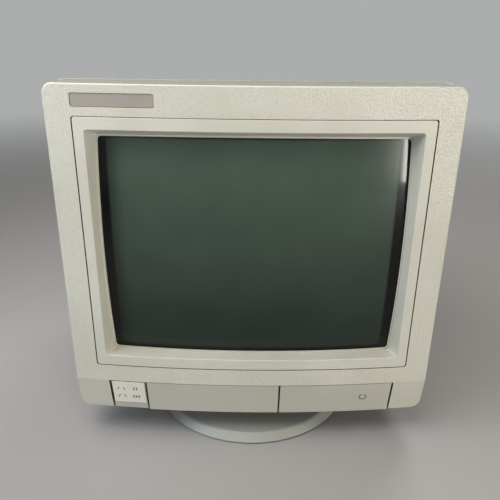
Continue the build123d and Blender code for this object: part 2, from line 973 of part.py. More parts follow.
def power_switch():
    """The mains switch on its two posts behind the button."""
    plate = block(
        button_middle - switch_plate_half_width,
        button_middle + switch_plate_half_width,
        depth(switch_depth),
        depth(switch_depth + switch_plate_wall),
        button_height - switch_plate_half_height,
        button_height + switch_plate_half_height,
    )
    body = block(
        button_middle - switch_body_half_width,
        button_middle + switch_body_half_width,
        depth(switch_depth + switch_plate_wall),
        depth(switch_depth + switch_plate_wall + switch_body_length),
        button_height - switch_body_half_height,
        button_height + switch_body_half_height,
    )
    switch = plate + body
    bore_end = depth(switch_depth + switch_bore_depth)
    bore_radius = plunger_radius + guide_play
    switch -= rod_y(button_middle, depth(switch_depth - overrun), bore_end, button_height, bore_radius)
    for side in (-1, 1):
        x = button_middle + side * switch_post_spacing / 2
        switch -= rod_y(
            x,
            depth(switch_depth - overrun),
            depth(switch_depth + switch_plate_wall + overrun),
            button_height,
            small_screw_radius + hole_play,
        )
    lug = pin_radius
    for x in (-switch_body_half_width / 2, switch_body_half_width / 2):
        switch += block(
            button_middle + x - lug,
            button_middle + x + lug,
            depth(switch_depth + switch_body_length),
            depth(switch_depth + switch_body_length + standoff_height),
            button_height - switch_plate_wall,
            button_height + switch_plate_wall,
        )
    return switch


def switch_screws():
    """The two screws of the mains switch."""
    screws = []
    for side in (-1, 1):
        x = button_middle + side * switch_post_spacing / 2
        seat = depth(switch_depth + switch_plate_wall)
        screws.append(screw_y(x, seat, button_height, small_screw_radius, small_screw_length, -1))
    return screws


def thumbwheel(x, way):
    """A toothed wheel on a shaft that points to its control."""
    count = 2 * wheel_teeth
    points = []
    for index in range(count):
        angle = 2 * math.pi * index / count
        radius = wheel_radius - (wheel_tooth_depth if index % 2 else 0)
        place_y = depth(wheel_depth) + radius * math.cos(angle)
        points.append((x - wheel_width / 2, place_y, wheel_height + radius * math.sin(angle)))
    wheel = extrude(make_face(Polyline(*points, close=True)), wheel_width, dir=(1, 0, 0))
    start = x
    end = x + way * (wheel_width / 2 + shaft_length)
    shaft = rod_x(min(start, end), max(start, end), depth(wheel_depth), wheel_height, shaft_radius)
    return wheel + shaft


def brightness_wheel():
    """The left wheel, whose shaft points to the left."""
    return thumbwheel(wheel_first_x, -1)


def contrast_wheel():
    """The right wheel, whose shaft points to the right."""
    return thumbwheel(wheel_second_x, 1)


def control_pot(x, way):
    """One rotary control that holds a wheel's shaft."""
    near = x + way * (wheel_width / 2 + pot_gap)
    far = near + way * pot_length
    body = block(
        min(near, far),
        max(near, far),
        depth(wheel_depth) - pot_half_depth,
        depth(wheel_depth) + pot_half_depth,
        wheel_height - pot_drop,
        control_board_height,
    )
    bore_end = near + way * (shaft_length - pot_gap + seat_gap)
    bore_start = near - way * overrun
    bore_low = min(bore_start, bore_end)
    bore_high = max(bore_start, bore_end)
    return body - rod_x(
        bore_low, bore_high, depth(wheel_depth), wheel_height, shaft_radius + shaft_play
    )


def control_pots():
    """The brightness and contrast controls."""
    return [control_pot(wheel_first_x, -1), control_pot(wheel_second_x, 1)]


def control_board():
    """The small board that carries the two controls."""
    middle = wheel_middle()
    return block(
        middle - control_board_half_length,
        middle + control_board_half_length,
        depth(wheel_depth - control_board_half_depth + seat_gap),
        depth(wheel_depth + control_board_half_depth),
        control_board_height,
        control_board_height + board_wall,
    )


def glass_prism(shrink, y_from, y_to):
    """The rounded outline of the tube's face, drawn in by a wall."""
    return slab(
        glass_half_width - shrink,
        y_from,
        y_to,
        tube_height - glass_half_height + shrink,
        tube_height + glass_half_height - shrink,
        glass_corner_radius - shrink,
    )


def crt_faceplate():
    """The thick front pan of the tube."""
    pan = glass_prism(0, y_crown, depth(glass_skirt_depth)) & glass_sphere(screen_radius)
    hollow = glass_prism(glass_side_wall, y_crown, depth(glass_skirt_depth + overrun))
    return pan - (hollow & glass_sphere(screen_radius - glass_front_wall))


def bulb(shrink):
    """The bulb of the tube from its frit line to the start of the neck."""
    sections = []
    shares = zip(bulb_depths, bulb_width_shares, bulb_height_shares, bulb_corner_shares)
    for along, width_share, height_share, corner_share in shares:
        half_width = glass_half_width * width_share - shrink
        half_height = glass_half_height * height_share - shrink
        corner = min(half_width, half_height) * corner_share
        place = Plane((0, depth(along), tube_height), x_dir=(1, 0, 0), z_dir=(0, 1, 0))
        sections.append(place * RectangleRounded(2 * half_width, 2 * half_height, corner))
    return loft(sections)


def crt_funnel():
    """The glass bulb and neck, hollow and open at both ends."""
    outer = bulb(0) + rod_y(0, depth(neck_start_depth), depth(neck_end_depth), tube_height, neck_radius)
    inner_radius = neck_radius - neck_wall
    neck_bore = rod_y(
        0, depth(neck_start_depth - overrun), depth(neck_end_depth + overrun), tube_height, inner_radius
    )
    return outer - bulb(funnel_glass_wall) - neck_bore


def crt_rim_band():
    """The steel tension band round the skirt, with a lug at each corner."""
    grow = -(seat_gap + band_wall)
    band = glass_prism(grow, depth(band_start_depth), depth(band_end_depth))
    for x, z in tube_screw_places():
        toward = math.copysign(1, x)
        upward = math.copysign(1, z - tube_height)
        reach = glass_corner_radius
        start_x = x - toward * reach
        start_z = z - upward * reach
        middle_x = (x + start_x) / 2
        middle_z = (z + start_z) / 2
        length = math.hypot(reach, reach)
        turn = -45 * toward * upward
        tongue = Box(length, lug_wall, 2 * lug_half_width)
        lug_y = depth(lug_depth) + lug_wall / 2
        band += Pos(middle_x, lug_y, middle_z) * Rot(0, turn, 0) * tongue
        band += rod_y(x, depth(lug_depth), depth(lug_depth) + lug_wall, z, lug_half_width)
    band -= glass_prism(-seat_gap, depth(band_start_depth - overrun), depth(band_end_depth + overrun))
    for x, z in tube_screw_places():
        hole = tube_screw_radius + hole_play
        band -= rod_y(x, depth(lug_depth - overrun), depth(lug_depth + lug_wall + overrun), z, hole)
    return band


def crt_screws():
    """The four screws that hold the tube to the bezel."""
    seat = depth(lug_depth + lug_wall)
    screws = []
    for x, z in tube_screw_places():
        screws.append(screw_y(x, seat, z, tube_screw_radius, tube_screw_length, -1))
    return screws


def electron_gun():
    """The stacked electrodes inside the neck."""
    start = depth(neck_end_depth - gun_length)
    end = depth(neck_end_depth)
    gun = rod_y(0, start, end, tube_height, gun_radius)
    pitch = (gun_length - gun_grid_wall) / gun_grids
    for index in range(gun_grids):
        grid = start + index * pitch
        gun += rod_y(0, grid, grid + gun_grid_wall, tube_height, gun_grid_radius)
    return gun


def crt_base():
    """The glass stem that closes the neck, with its ring of pins."""
    stem_end = neck_end_depth + stem_length
    stem = rod_y(0, depth(neck_end_depth), depth(stem_end), tube_height, neck_radius)
    for index in range(pin_count):
        angle = 2 * math.pi * index / pin_count
        x = pin_ring_radius * math.cos(angle)
        z = tube_height + pin_ring_radius * math.sin(angle)
        stem += rod_y(x, depth(stem_end), depth(stem_end + pin_length), z, pin_radius)
    return stem


def crt_socket():
    """The socket that takes the pins of the tube."""
    start = neck_end_depth + stem_length + seat_gap
    socket = rod_y(0, depth(start), depth(start + socket_length), tube_height, socket_radius)
    for index in range(pin_count):
        angle = 2 * math.pi * index / pin_count
        x = pin_ring_radius * math.cos(angle)
        z = tube_height + pin_ring_radius * math.sin(angle)
        hole_end = depth(start + pin_length)
        socket -= rod_y(x, depth(start - overrun), hole_end, z, pin_radius + hole_play)
    return socket


def neck_board_depth():
    """The depth of the front face of the neck board."""
    return neck_end_depth + stem_length + seat_gap + socket_length


def neck_board():
    """The board behind the tube's socket."""
    near = neck_board_depth()
    board = block(
        -neck_board_half_width,
        neck_board_half_width,
        depth(near),
        depth(near + board_wall),
        tube_height - neck_board_half_height,
        tube_height + neck_board_half_height,
    )
    shield_start = depth(near + board_wall)
    board += block(
        -neck_board_half_width / 2,
        neck_board_half_width / 2,
        shield_start,
        shield_start + chip_height,
        tube_height - neck_board_half_height / 2,
        tube_height,
    )
    return board


def deflection_yoke():
    """The plastic former and windings of the yoke, flared toward the bulb."""
    middle = (yoke_start_depth + yoke_end_depth) / 2
    inner_front = glass_half_width * bulb_width_shares[3] + yoke_clearance
    inner_back = neck_radius + yoke_clearance
    profile = [
        (yoke_start_depth, inner_front),
        (yoke_start_depth, yoke_front_radius),
        (yoke_start_depth + yoke_flange, yoke_front_radius),
        (yoke_start_depth + 2 * yoke_flange, yoke_front_radius - yoke_flange),
        (middle, yoke_back_radius + yoke_flange),
        (yoke_end_depth - yoke_flange, yoke_back_radius),
        (yoke_end_depth, yoke_back_radius),
        (yoke_end_depth, inner_back),
        (middle - yoke_flange, inner_back),
    ]
    return around_tube(profile) - bulb(-yoke_clearance / 2)


def yoke_core():
    """The ferrite ring round the middle of the yoke."""
    middle = (yoke_start_depth + yoke_end_depth) / 2
    start = middle - 2 * yoke_flange
    end = yoke_end_depth - 2 * yoke_flange
    former = yoke_back_radius + yoke_flange + seat_gap
    front_radius = former + (yoke_front_radius - yoke_back_radius) / 4
    profile = [
        (start, front_radius + core_wall),
        (start, front_radius + seat_gap + yoke_flange),
        (middle, former + seat_gap),
        (end, former - yoke_flange / 2),
        (end, former + core_wall),
        (middle, former + core_wall + yoke_flange),
    ]
    return around_tube(profile) - deflection_yoke()


def yoke_clamp():
    """The clamp ring that locks the yoke on the neck."""
    start = yoke_end_depth + seat_gap
    profile = [
        (start, neck_radius + seat_gap),
        (start, clamp_radius),
        (start + clamp_length, clamp_radius),
        (start + clamp_length, neck_radius + seat_gap),
    ]
    clamp = around_tube(profile)
    ear = block(
        -ring_tab_half,
        ring_tab_half,
        depth(start),
        depth(start + clamp_length),
        tube_height + clamp_radius - ring_wall,
        tube_height + clamp_radius + clamp_ear,
    )
    return clamp + ear


def centring_rings():
    """The pair of magnet rings behind the clamp."""
    rings = []
    for index in range(2):
        start = yoke_end_depth + seat_gap + clamp_length + ring_gap + index * (ring_wall + ring_gap)
        profile = [
            (start, neck_radius + seat_gap),
            (start, ring_radius),
            (start + ring_wall, ring_radius),
            (start + ring_wall, neck_radius + seat_gap),
        ]
        tab = block(
            -ring_tab_half,
            ring_tab_half,
            depth(start),
            depth(start + ring_wall),
            tube_height + ring_radius - ring_wall,
            tube_height + ring_radius + ring_tab,
        )
        turn = ring_tab_turn if index else -ring_tab_turn
        about = Pos(0, 0, tube_height) * Rot(0, turn, 0) * Pos(0, 0, -tube_height)
        rings.append(around_tube(profile) + about * tab)
    return rings


def housing_form(shrink, front_y):
    """The outer form of the rear housing, drawn in by a wall."""
    side_points = [
        (0, y_housing_front, dome_rim_height),
        (0, depth(housing_rise_depth), dome_rim_height),
        (0, y_back, housing_back_rise),
        (0, y_back, housing_back_top),
        (0, depth(housing_hump_depth), housing_hump_height),
        (0, y_housing_front, z_top - shell_wall - housing_side_gap),
    ]
    front_half = face_width / 2 - shell_wall - housing_side_gap
    plan_points = [
        (front_half, y_housing_front, 0),
        (housing_side_far, depth(housing_side_far_depth), 0),
        (housing_back_half_width, y_back, 0),
        (-housing_back_half_width, y_back, 0),
        (-housing_side_far, depth(housing_side_far_depth), 0),
        (-front_half, y_housing_front, 0),
    ]
    side = make_face(Polyline(*side_points, close=True))
    plan = make_face(Polyline(*plan_points, close=True))
    if shrink:
        side = offset(side, amount=-shrink, kind=Kind.INTERSECTION)
        plan = offset(plan, amount=-shrink, kind=Kind.INTERSECTION)
    lengthways = extrude(side, face_width, dir=(1, 0, 0), both=True)
    upward = extrude(plan, z_top, dir=(0, 0, 1))
    form = lengthways & upward
    radius = housing_inner_radius if shrink else housing_edge_radius
    limit = y_housing_front + shrink + overrun
    edges = form.edges().filter_by(lambda edge: edge.bounding_box().max.Y > limit)
    return fillet(edges, radius)


def housing_lip():
    """The rim that stands a little proud just behind the bezel."""
    start = y_bezel_back + seat_gap
    end = start + housing_lip_length
    inset = shell_wall + housing_side_gap + shell_wall / 2
    lip = slab(
        face_width / 2 + housing_lip_rise,
        start,
        end,
        z_foot,
        z_top + housing_lip_rise,
        face_corner_radius + housing_lip_rise,
    )
    lip -= slab(face_width / 2 - inset, start, end, z_foot, z_top - inset, housing_inner_radius)
    return lip & block(-face_width, face_width, start, end, dome_rim_height, z_top + face_height)


def rear_housing():
    """The back shell: louvred top and back, posts for the chassis, and long screw wells."""
    outer = housing_form(0, y_housing_front)
    hollow = housing_form(shell_wall, y_housing_front)
    mouth_edges = face_width / 2 - shell_wall - housing_side_gap - shell_wall
    mouth = slab(
        mouth_edges,
        y_housing_front - overrun,
        y_housing_front + shell_wall + overrun,
        dome_rim_height + shell_wall,
        z_top - shell_wall - housing_side_gap - shell_wall,
        housing_inner_radius,
    )
    wells = None
    bores = None
    for x, z in housing_screw_places():
        well = rod_y(x, y_housing_front, y_back, z, housing_well_radius)
        bore_radius = small_screw_radius * screw_head_share + hole_play
        bore = rod_y(x, y_housing_front + well_floor, y_back, z, bore_radius)
        bore += rod_y(
            x, y_housing_front - overrun, y_back, z, small_screw_radius + hole_play
        )
        wells = well if wells is None else wells + well
        bores = bore if bores is None else bores + bore
    posts = None
    for x, y in tray_post_places():
        post = rod_z(x, y, 0, tray_height, tray_post_radius)
        posts = post if posts is None else posts + post
    shell = outer - hollow - mouth + housing_lip()
    shell += outer & (wells + posts)
    shell -= bores
    for x, y in tray_post_places():
        bore_low = tray_height - small_screw_length
        shell -= rod_z(x, y, bore_low, tray_height + overrun, small_screw_radius + hole_play)
    hole = rod_z(0, base_y, 0, dome_rim_height + shell_wall + overrun, dome_rim_radius + seat_gap)
    shell -= hole
    for x, y in ear_places():
        shell += rod_z(
            x,
            y,
            dome_rim_height + shell_wall / 2,
            dome_rim_height + shell_wall + seat_gap,
            small_screw_radius * screw_head_share,
        )
        shell -= rod_z(
            x, y, 0, dome_rim_height + shell_wall + overrun, small_screw_radius + hole_play
        )
    shell -= louvres()
    shell -= block(-window_half, window_half, y_back - 2 * shell_wall, y_back + overrun,
                   window_low, window_high)
    return shell


def louvres():
    """Everything that the vents cut from the rear housing."""
    cuts = []
    for index in range(top_slot_count):
        x = (index - (top_slot_count - 1) / 2) * top_slot_pitch
        cuts.append(
            block(
                x - top_slot_width / 2,
                x + top_slot_width / 2,
                depth(top_slot_start_depth),
                depth(top_slot_end_depth),
                housing_hump_height - 2 * shell_wall - housing_edge_radius,
                z_top,
            )
        )
    for row in range(back_slot_rows):
        z = back_slot_low + row * back_slot_pitch
        for column in (-1, 0, 1):
            x = column * (2 * back_slot_half_width + back_slot_gap)
            cuts.append(
                block(
                    x - back_slot_half_width,
                    x + back_slot_half_width,
                    y_back - 2 * shell_wall,
                    y_back + overrun,
                    z - back_slot_height / 2,
                    z + back_slot_height / 2,
                )
            )
    for index in range(side_slot_count):
        y = depth(side_slot_depth) + index * side_slot_pitch
        for side in (-1, 1):
            near = housing_back_half_width
            far = face_width / 2
            cuts.append(
                block(
                    min(side * near, side * far),
                    max(side * near, side * far),
                    y - side_slot_width / 2,
                    y + side_slot_width / 2,
                    side_slot_low,
                    side_slot_high,
                )
            )
    return cuts


def housing_screws():
    """The four long-well screws that hold the housing to the bezel."""
    seat = y_housing_front + well_floor
    screws = []
    for x, z in housing_screw_places():
        screws.append(screw_y(x, seat, z, small_screw_radius, housing_screw_length, -1))
    return screws


def ear_places():
    """Where the four screws of the tilt dome stand."""
    places = []
    for index in range(ear_count):
        angle = 2 * math.pi * (index + 1 / 2) / ear_count
        places.append(
            (ear_screw_radius * math.cos(angle), base_y + ear_screw_radius * math.sin(angle))
        )
    return places


def tray_post_places():
    """Where the chassis tray stands on the housing."""
    front = depth(tray_front_depth) + tray_post_inset
    back = tray_back_y - tray_post_inset
    return [(sx * tray_post_x, y) for sx in (-1, 1) for y in (front, back)]


def tilt_dome():
    """The ball-shaped foot of the head, with a fore-and-aft slot and four inner ears."""
    cap = turned_about_tilt(dome_radius) - turned_about_tilt(dome_inner_radius)
    cap = cap & rod_z(0, base_y, 0, dome_rim_height, dome_rim_radius)
    collar_top = dome_rim_height + shell_wall + 2 * seat_gap + ear_wall
    collar = rod_z(0, base_y, dome_rim_height, collar_top, dome_rim_radius)
    inner = math.sqrt(dome_inner_radius**2 - (tilt_centre_height - dome_rim_height) ** 2)
    collar -= rod_z(0, base_y, dome_rim_height - overrun, collar_top + overrun, inner)
    ears = None
    for index in range(ear_count):
        ear = block(
            dome_rim_radius - dome_wall,
            ear_radius,
            -ear_half_width,
            ear_half_width,
            collar_top - ear_wall,
            collar_top,
        )
        ear = Pos(0, base_y, 0) * Rot(0, 0, 360 * (index + 1 / 2) / ear_count) * ear
        ears = ear if ears is None else ears + ear
    dome = cap + collar + ears
    for x, y in ear_places():
        dome -= rod_z(x, y, dome_rim_height, collar_top + overrun, small_screw_radius + hole_play)
    back_reach = dome_radius * math.sin(math.radians(tilt_up)) + bolt_radius + slot_end_play
    front_reach = dome_radius * math.sin(math.radians(tilt_down)) + bolt_radius + slot_end_play
    slot_half = neck_flat_half + slot_play
    return dome - block(
        -slot_half, slot_half, base_y - front_reach, base_y + back_reach, 0, dome_rim_height - overrun
    )


def dome_screws():
    """The four screws of the tilt dome."""
    seat = dome_rim_height + shell_wall + 2 * seat_gap + ear_wall
    length = 2 * shell_wall
    return [screw_z(x, y, seat, small_screw_radius, length) for x, y in ear_places()]


def web_top():
    """The height of the middle of the bowl."""
    return tilt_centre_height - bowl_radius


def base_disc():
    """The moulded disc: sloped rim, hub with a bowl, ribs below."""
    web_bottom = web_top() - base_wall
    top = base_edge_height + base_top_rise
    outside = [
        (0, base_skirt_lift),
        (base_radius, base_skirt_lift),
        (base_edge_radius + base_rim_round, base_edge_height - base_rim_round),
        (base_edge_radius - base_rim_round, base_edge_height),
        (hub_foot_radius, top),
        (hub_top_radius, bowl_rim_height),
        (0, bowl_rim_height),
    ]
    under = [
        (0, 0),
        (base_radius - base_wall - overrun, 0),
        (base_edge_radius - base_wall, base_edge_height - base_wall),
        (hub_foot_radius - base_wall, top - base_wall),
        (hub_top_radius - base_wall, web_bottom),
        (0, web_bottom),
    ]
    solid = turned_about_swivel(outside) - turned_about_tilt(bowl_radius)
    ribs = None
    for index in range(rib_count):
        rib = block(stop_radius + stop_tab_reach + rib_width, base_edge_radius, -rib_width / 2,
                    rib_width / 2, base_skirt_lift, web_top())
        rib = Pos(0, base_y, 0) * Rot(0, 0, 360 * (index + 1 / 2) / rib_count) * rib
        ribs = rib if ribs is None else ribs + rib
    ribs = ribs & turned_about_swivel(outside)
    sockets = None
    for x, y in foot_places():
        socket = rod_z(x, y, base_skirt_lift, base_edge_height, foot_radius + foot_socket_wall)
        sockets = socket if sockets is None else sockets + socket
    solid = solid - turned_about_swivel(under) + (ribs - turned_about_tilt(bowl_radius)) + sockets
    stops = []
    for side in (-1, 1):
        angle = math.radians(90 + side * (90 + stop_half_angle()))
        radius = stop_radius + stop_tab_reach / 2
        stops.append((radius * math.cos(angle), base_y + radius * math.sin(angle)))
    for x, y in stops:
        solid += rod_z(x, y, web_bottom - stop_post_length, web_bottom + overrun, stop_post_radius)
    bore = bolt_radius + bore_play
    solid -= rod_z(0, base_y, 0, web_top() + overrun, bore)
    for x, y in foot_places():
        solid -= rod_z(x, y, 0, base_skirt_lift + foot_socket_wall, foot_radius + hole_play)
    return solid


def stop_half_angle():
    """How far past a quarter turn each stop post stands, for its own and the tab's width."""
    radius = stop_radius + stop_tab_reach / 2
    return math.degrees((stop_post_radius + stop_tab_half_width + seat_gap) / radius)


def turned_about_swivel(profile):
    """A form turned about the swivel axis from (radius, height) points."""
    points = [(radius, base_y, height) for radius, height in profile]
    return revolve(make_face(Polyline(*points, close=True)), Axis((0, base_y, 0), (0, 0, 1)))


def foot_places():
    """Where the rubber feet sit under the disc."""
    places = []
    for index in range(foot_count):
        angle = math.pi / 4 + 2 * math.pi * index / foot_count
        places.append(
            (foot_ring_radius * math.cos(angle), base_y + foot_ring_radius * math.sin(angle))
        )
    return places


def rubber_feet():
    """The four feet, seated in sockets."""
    return [rod_z(x, y, 0, base_skirt_lift + foot_socket_wall, foot_radius) for x, y in foot_places()]


def bowl_pads():
    """The friction pads that carry the dome."""
    pads = []
    shell = turned_about_tilt(bowl_radius) - turned_about_tilt(pad_face_radius)
    for index in range(pad_count):
        angle = math.pi / 4 + 2 * math.pi * index / pad_count
        x = pad_ring_radius * math.cos(angle)
        y = base_y + pad_ring_radius * math.sin(angle)
        pads.append(shell & rod_z(x, y, 0, bowl_rim_height, pad_radius))
    return pads


def saddle_bottom():
    """The lowest height of the saddle washer, just inside the dome."""
    return tilt_centre_height - dome_inner_radius + dome_play


def saddle_top():
    """The flat top of the saddle washer."""
    return saddle_bottom() + saddle_thickness


def pivot_bolt():
    """The bolt of the swivel, with flats on the neck that passes the dome."""
    plate_low = web_top() - base_wall - seat_gap - stop_wall
    head_low = plate_low - bolt_head_height
    tip = saddle_top() + wave_wall + nut_height + bolt_tip
    bolt = rod_z(0, base_y, plate_low, tip, bolt_radius)
    flats_low = web_top() + dome_play
    for side in (-1, 1):
        near = side * neck_flat_half
        far = side * (bolt_radius + overrun)
        bolt -= block(
            min(near, far),
            max(near, far),
            base_y - bolt_radius - overrun,
            base_y + bolt_radius + overrun,
            flats_low,
            tip + overrun,
        )
    head = Pos(0, base_y, head_low) * extrude(RegularPolygon(bolt_head_radius, 6), bolt_head_height)
    return bolt + head


def stop_washer():
    """The keyed washer under the disc, with the tab that meets the stop posts."""
    high = web_top() - base_wall - seat_gap
    low = high - stop_wall
    washer = rod_z(0, base_y, low, high, stop_radius)
    tab = block(
        -stop_tab_half_width,
        stop_tab_half_width,
        base_y + stop_radius - stop_wall,
        base_y + stop_radius + stop_tab_reach,
        low,
        high,
    )
    hole = rod_z(0, base_y, low - overrun, high + overrun, bolt_radius + bore_play)
    return washer + tab - hole


def saddle_washer():
    """The curved washer that draws the dome down from inside."""
    bar = block(
        -saddle_half_width,
        saddle_half_width,
        base_y - saddle_half_length,
        base_y + saddle_half_length,
        saddle_bottom() - overrun,
        saddle_top(),
    )
    saddle = bar & turned_about_tilt(dome_inner_radius - dome_play)
    return saddle - neck_hole(saddle_bottom() - overrun, saddle_top() + overrun)


def neck_hole(z_from, z_to):
    """A flatted hole that fits the neck of the bolt."""
    hole = rod_z(0, base_y, z_from, z_to, bolt_radius + bore_play)
    half = neck_flat_half + bore_play
    reach = bolt_radius + overrun
    return hole & block(-half, half, base_y - reach, base_y + reach, z_from, z_to)


def wave_washer():
    """The spring washer under the nut."""
    low = saddle_top()
    ring = rod_z(0, base_y, low, low + wave_wall, nut_radius)
    return ring - neck_hole(low - overrun, low + wave_wall + overrun)


def lock_nut():
    """The nut that sets the friction."""
    low = saddle_top() + wave_wall
    nut = Pos(0, base_y, low) * extrude(RegularPolygon(nut_radius, 6), nut_height)
    return nut - neck_hole(low - overrun, low + nut_height + overrun)


def standoff_places():
    """Where the main board stands on the tray."""
    front = depth(tray_front_depth) + main_board_inset + board_screw_inset
    back = plate_y - board_back_inset
    left = main_board_left + board_screw_inset
    right = main_board_right - board_screw_inset
    middle = (front + back) / 2
    return [(x, y) for x in (left, right) for y in (front, middle, back)]


def power_guide_places():
    """Where the two guides of the power board stand."""
    front = depth(power_board_front_depth) + guide_half
    return [front, depth(power_board_back_depth) - guide_half]


def chassis_tray():
    """The folded steel tray with its standoffs and the guides of the power board."""
    low = tray_height
    high = low + tray_wall
    front = depth(tray_front_depth)
    back = plate_y
    tray = block(-tray_half_width, tray_half_width, front, back, low, high)
    for side in (-1, 1):
        near = side * (tray_half_width - tray_wall)
        far = side * tray_half_width
        tray += block(min(near, far), max(near, far), front, back, low, high + tray_lip)
    for x, y in standoff_places():
        tray += rod_z(x, y, high - tray_wall / 2, high + standoff_height, standoff_radius)
    for y in power_guide_places():
        guide = block(
            power_board_x - guide_half,
            power_board_x + board_wall + guide_half,
            y - guide_half,
            y + guide_half,
            low + tray_wall / 2,
            high + guide_height,
        )
        groove = block(
            power_board_x - hole_play,
            power_board_x + board_wall + hole_play,
            y - guide_half - overrun,
            y + guide_half + overrun,
            high + power_board_rise - hole_play,
            high + guide_height + overrun,
        )
        tray += guide - groove
    for x, y in standoff_places():
        bore = small_screw_radius + hole_play
        tray -= rod_z(x, y, low - overrun, high + standoff_height + overrun, bore)
    for x, y in tray_post_places():
        tray -= rod_z(x, y, low - overrun, high + overrun, small_screw_radius + hole_play)
    return tray


def tray_screws():
    """The four screws of the tray."""
    seat = tray_height + tray_wall
    length = small_screw_length
    return [screw_z(x, y, seat, small_screw_radius, length) for x, y in tray_post_places()]


def main_board():
    """The logic board on its standoffs."""
    board = block(
        main_board_left,
        main_board_right,
        depth(tray_front_depth) + main_board_inset,
        plate_y - seat_gap,
        main_board_height,
        main_board_top,
    )
    for x, y in standoff_places():
        bore = small_screw_radius + hole_play
        board -= rod_z(x, y, main_board_height - overrun, main_board_top + overrun, bore)
    for x, y in tray_post_places():
        head = small_screw_radius * screw_head_share + hole_play
        board -= rod_z(x, y, main_board_height - overrun, main_board_top + overrun, head)
    return board


def board_screws():
    """The screws of the main board."""
    seat = main_board_top
    length = small_screw_length
    return [screw_z(x, y, seat, small_screw_radius, length) for x, y in standoff_places()]


def chip(x, y, length, width):
    """One chip on its row of legs."""
    low = main_board_top
    body = block(
        x - length / 2, x + length / 2, y - width / 2, y + width / 2, low + chip_rise,
        low + chip_rise + chip_height,
    )
    legs = block(
        x - length / 2 + chip_rise,
        x + length / 2 - chip_rise,
        y - width / 2 - chip_rise,
        y + width / 2 + chip_rise,
        low,
        low + chip_rise + chip_height / 2,
    )
    return body + legs


def logic_chips():
    """Processor, memory and logic on the main board."""
    first_y = depth(tray_front_depth) + 2 * chip_pitch
    chips = []
    for row in range(3):
        y = first_y + row * chip_pitch
        chips.append(chip(-large_chip_length, y, large_chip_length, large_chip_width))
        chips.append(chip(medium_chip_length / 4, y, medium_chip_length, large_chip_width))
    for row in range(4):
        y = first_y + row * chip_pitch * 3 / 4
        chips.append(chip(large_chip_length, y, small_chip_length, small_chip_width))
    return chips


def board_capacitors():
    """A row of upright capacitors near the rear of the main board."""
    row_y = plate_y - 2 * chip_pitch
    cans = []
    for index in range(small_capacitor_count):
        x = (index - (small_capacitor_count - 1) / 2) * small_capacitor_pitch
        low = main_board_top
        cans.append(rod_z(x, row_y, low, low + small_capacitor_height, small_capacitor_radius))
    return cans


def beeper():
    """The sounder on the main board."""
    x = main_board_left + 2 * beeper_radius
    y = plate_y - 3 * chip_pitch
    sounder = rod_z(x, y, main_board_top, main_board_top + beeper_height, beeper_radius)
    top = main_board_top + beeper_height
    return sounder - rod_z(x, y, top - overrun, top + overrun, beeper_radius / 4)


def power_board():
    """The upright power and deflection board in its guides."""
    low = tray_height + tray_wall + power_board_rise
    return block(
        power_board_x,
        power_board_x + board_wall,
        depth(power_board_front_depth),
        depth(power_board_back_depth),
        low,
        tube_height - power_board_drop,
    )


def flyback_places():
    """Limits of the flyback transformer: near and far Y, low and high Z."""
    low = tray_height + tray_wall + power_board_rise + flyback_rise
    start = depth(flyback_start_depth)
    return start, start + flyback_depth, low, low + flyback_height


def flyback_transformer():
    """The high-voltage transformer: potted block with its ferrite core."""
    start, end, low, high = flyback_places()
    potted = block(power_board_x - flyback_width, power_board_x, start, end, low, high)
    potted = fillet(potted.edges().filter_by(Axis.Z), flyback_core / 3)
    middle = power_board_x - flyback_width / 2
    core = block(
        middle - flyback_core / 2,
        middle + flyback_core / 2,
        start + flyback_core,
        end - flyback_core,
        low - flyback_core,
        high + flyback_core,
    )
    return potted + core


def power_transformer():
    """The switching transformer on its bobbin."""
    low = tray_height + tray_wall + power_board_rise + flyback_rise
    start = depth(transformer_start_depth)
    end = start + transformer_depth
    near = power_board_x - transformer_width
    coil = block(near + core_wall, power_board_x - core_wall, start, end, low + core_wall,
                 low + transformer_height - core_wall)
    coil = fillet(coil.edges().filter_by(Axis.X), core_wall / 2)
    core = block(near, power_board_x, start + core_wall, end - core_wall, low, low + transformer_height)
    return coil + core


def heat_sink():
    """The finned plate on the outer face of the power board."""
    face = power_board_x + board_wall
    start = depth(heat_sink_start_depth)
    low = tray_height + tray_wall + guide_height + board_wall
    high = low + heat_sink_height
    sink = block(face, face + heat_sink_wall, start, start + heat_sink_length, low, high)
    pitch = (heat_sink_length - fin_wall) / (fin_count - 1)
    for index in range(fin_count):
        y = start + index * pitch
        sink += block(face, face + heat_sink_wall + fin_reach, y, y + fin_wall, low, high)
    return sink


def filter_capacitors():
    """The two large capacitors on the outer face of the power board."""
    face = power_board_x + board_wall
    cans = []
    for index in range(2):
        z = tube_height - filter_drop - filter_pitch * index
        cans.append(rod_x(face, face + filter_length, depth(filter_depth), z, filter_radius))
    return cans


def anode_place():
    """The middle of the anode contact on the side of the bulb."""
    return glass_half_width * (bulb_width_shares[1] + bulb_width_shares[2]) / 2


def anode_cap():
    """The rubber cup over the tube's high-voltage contact."""
    rise = bulb_depths[2] - bulb_depths[1]
    run = glass_half_width * (bulb_width_shares[1] - bulb_width_shares[2])
    tilt = math.degrees(math.atan2(run, rise))
    cup = Cone(anode_radius, anode_crown_radius, anode_wall * 2)
    cup = Pos(0, 0, anode_wall) * cup
    crown = Pos(0, 0, anode_wall * 2) * Cylinder(anode_crown_radius, anode_crown_height)
    root = Pos(0, 0, -anode_wall * 2) * Cylinder(anode_radius, anode_wall * 4)
    cap = Pos(anode_place(), depth(anode_side_depth), tube_height) * Rot(0, 0, tilt) * Rot(
        0, 90, 0
    ) * (cup + crown + root)
    return cap - bulb(-seat_gap)


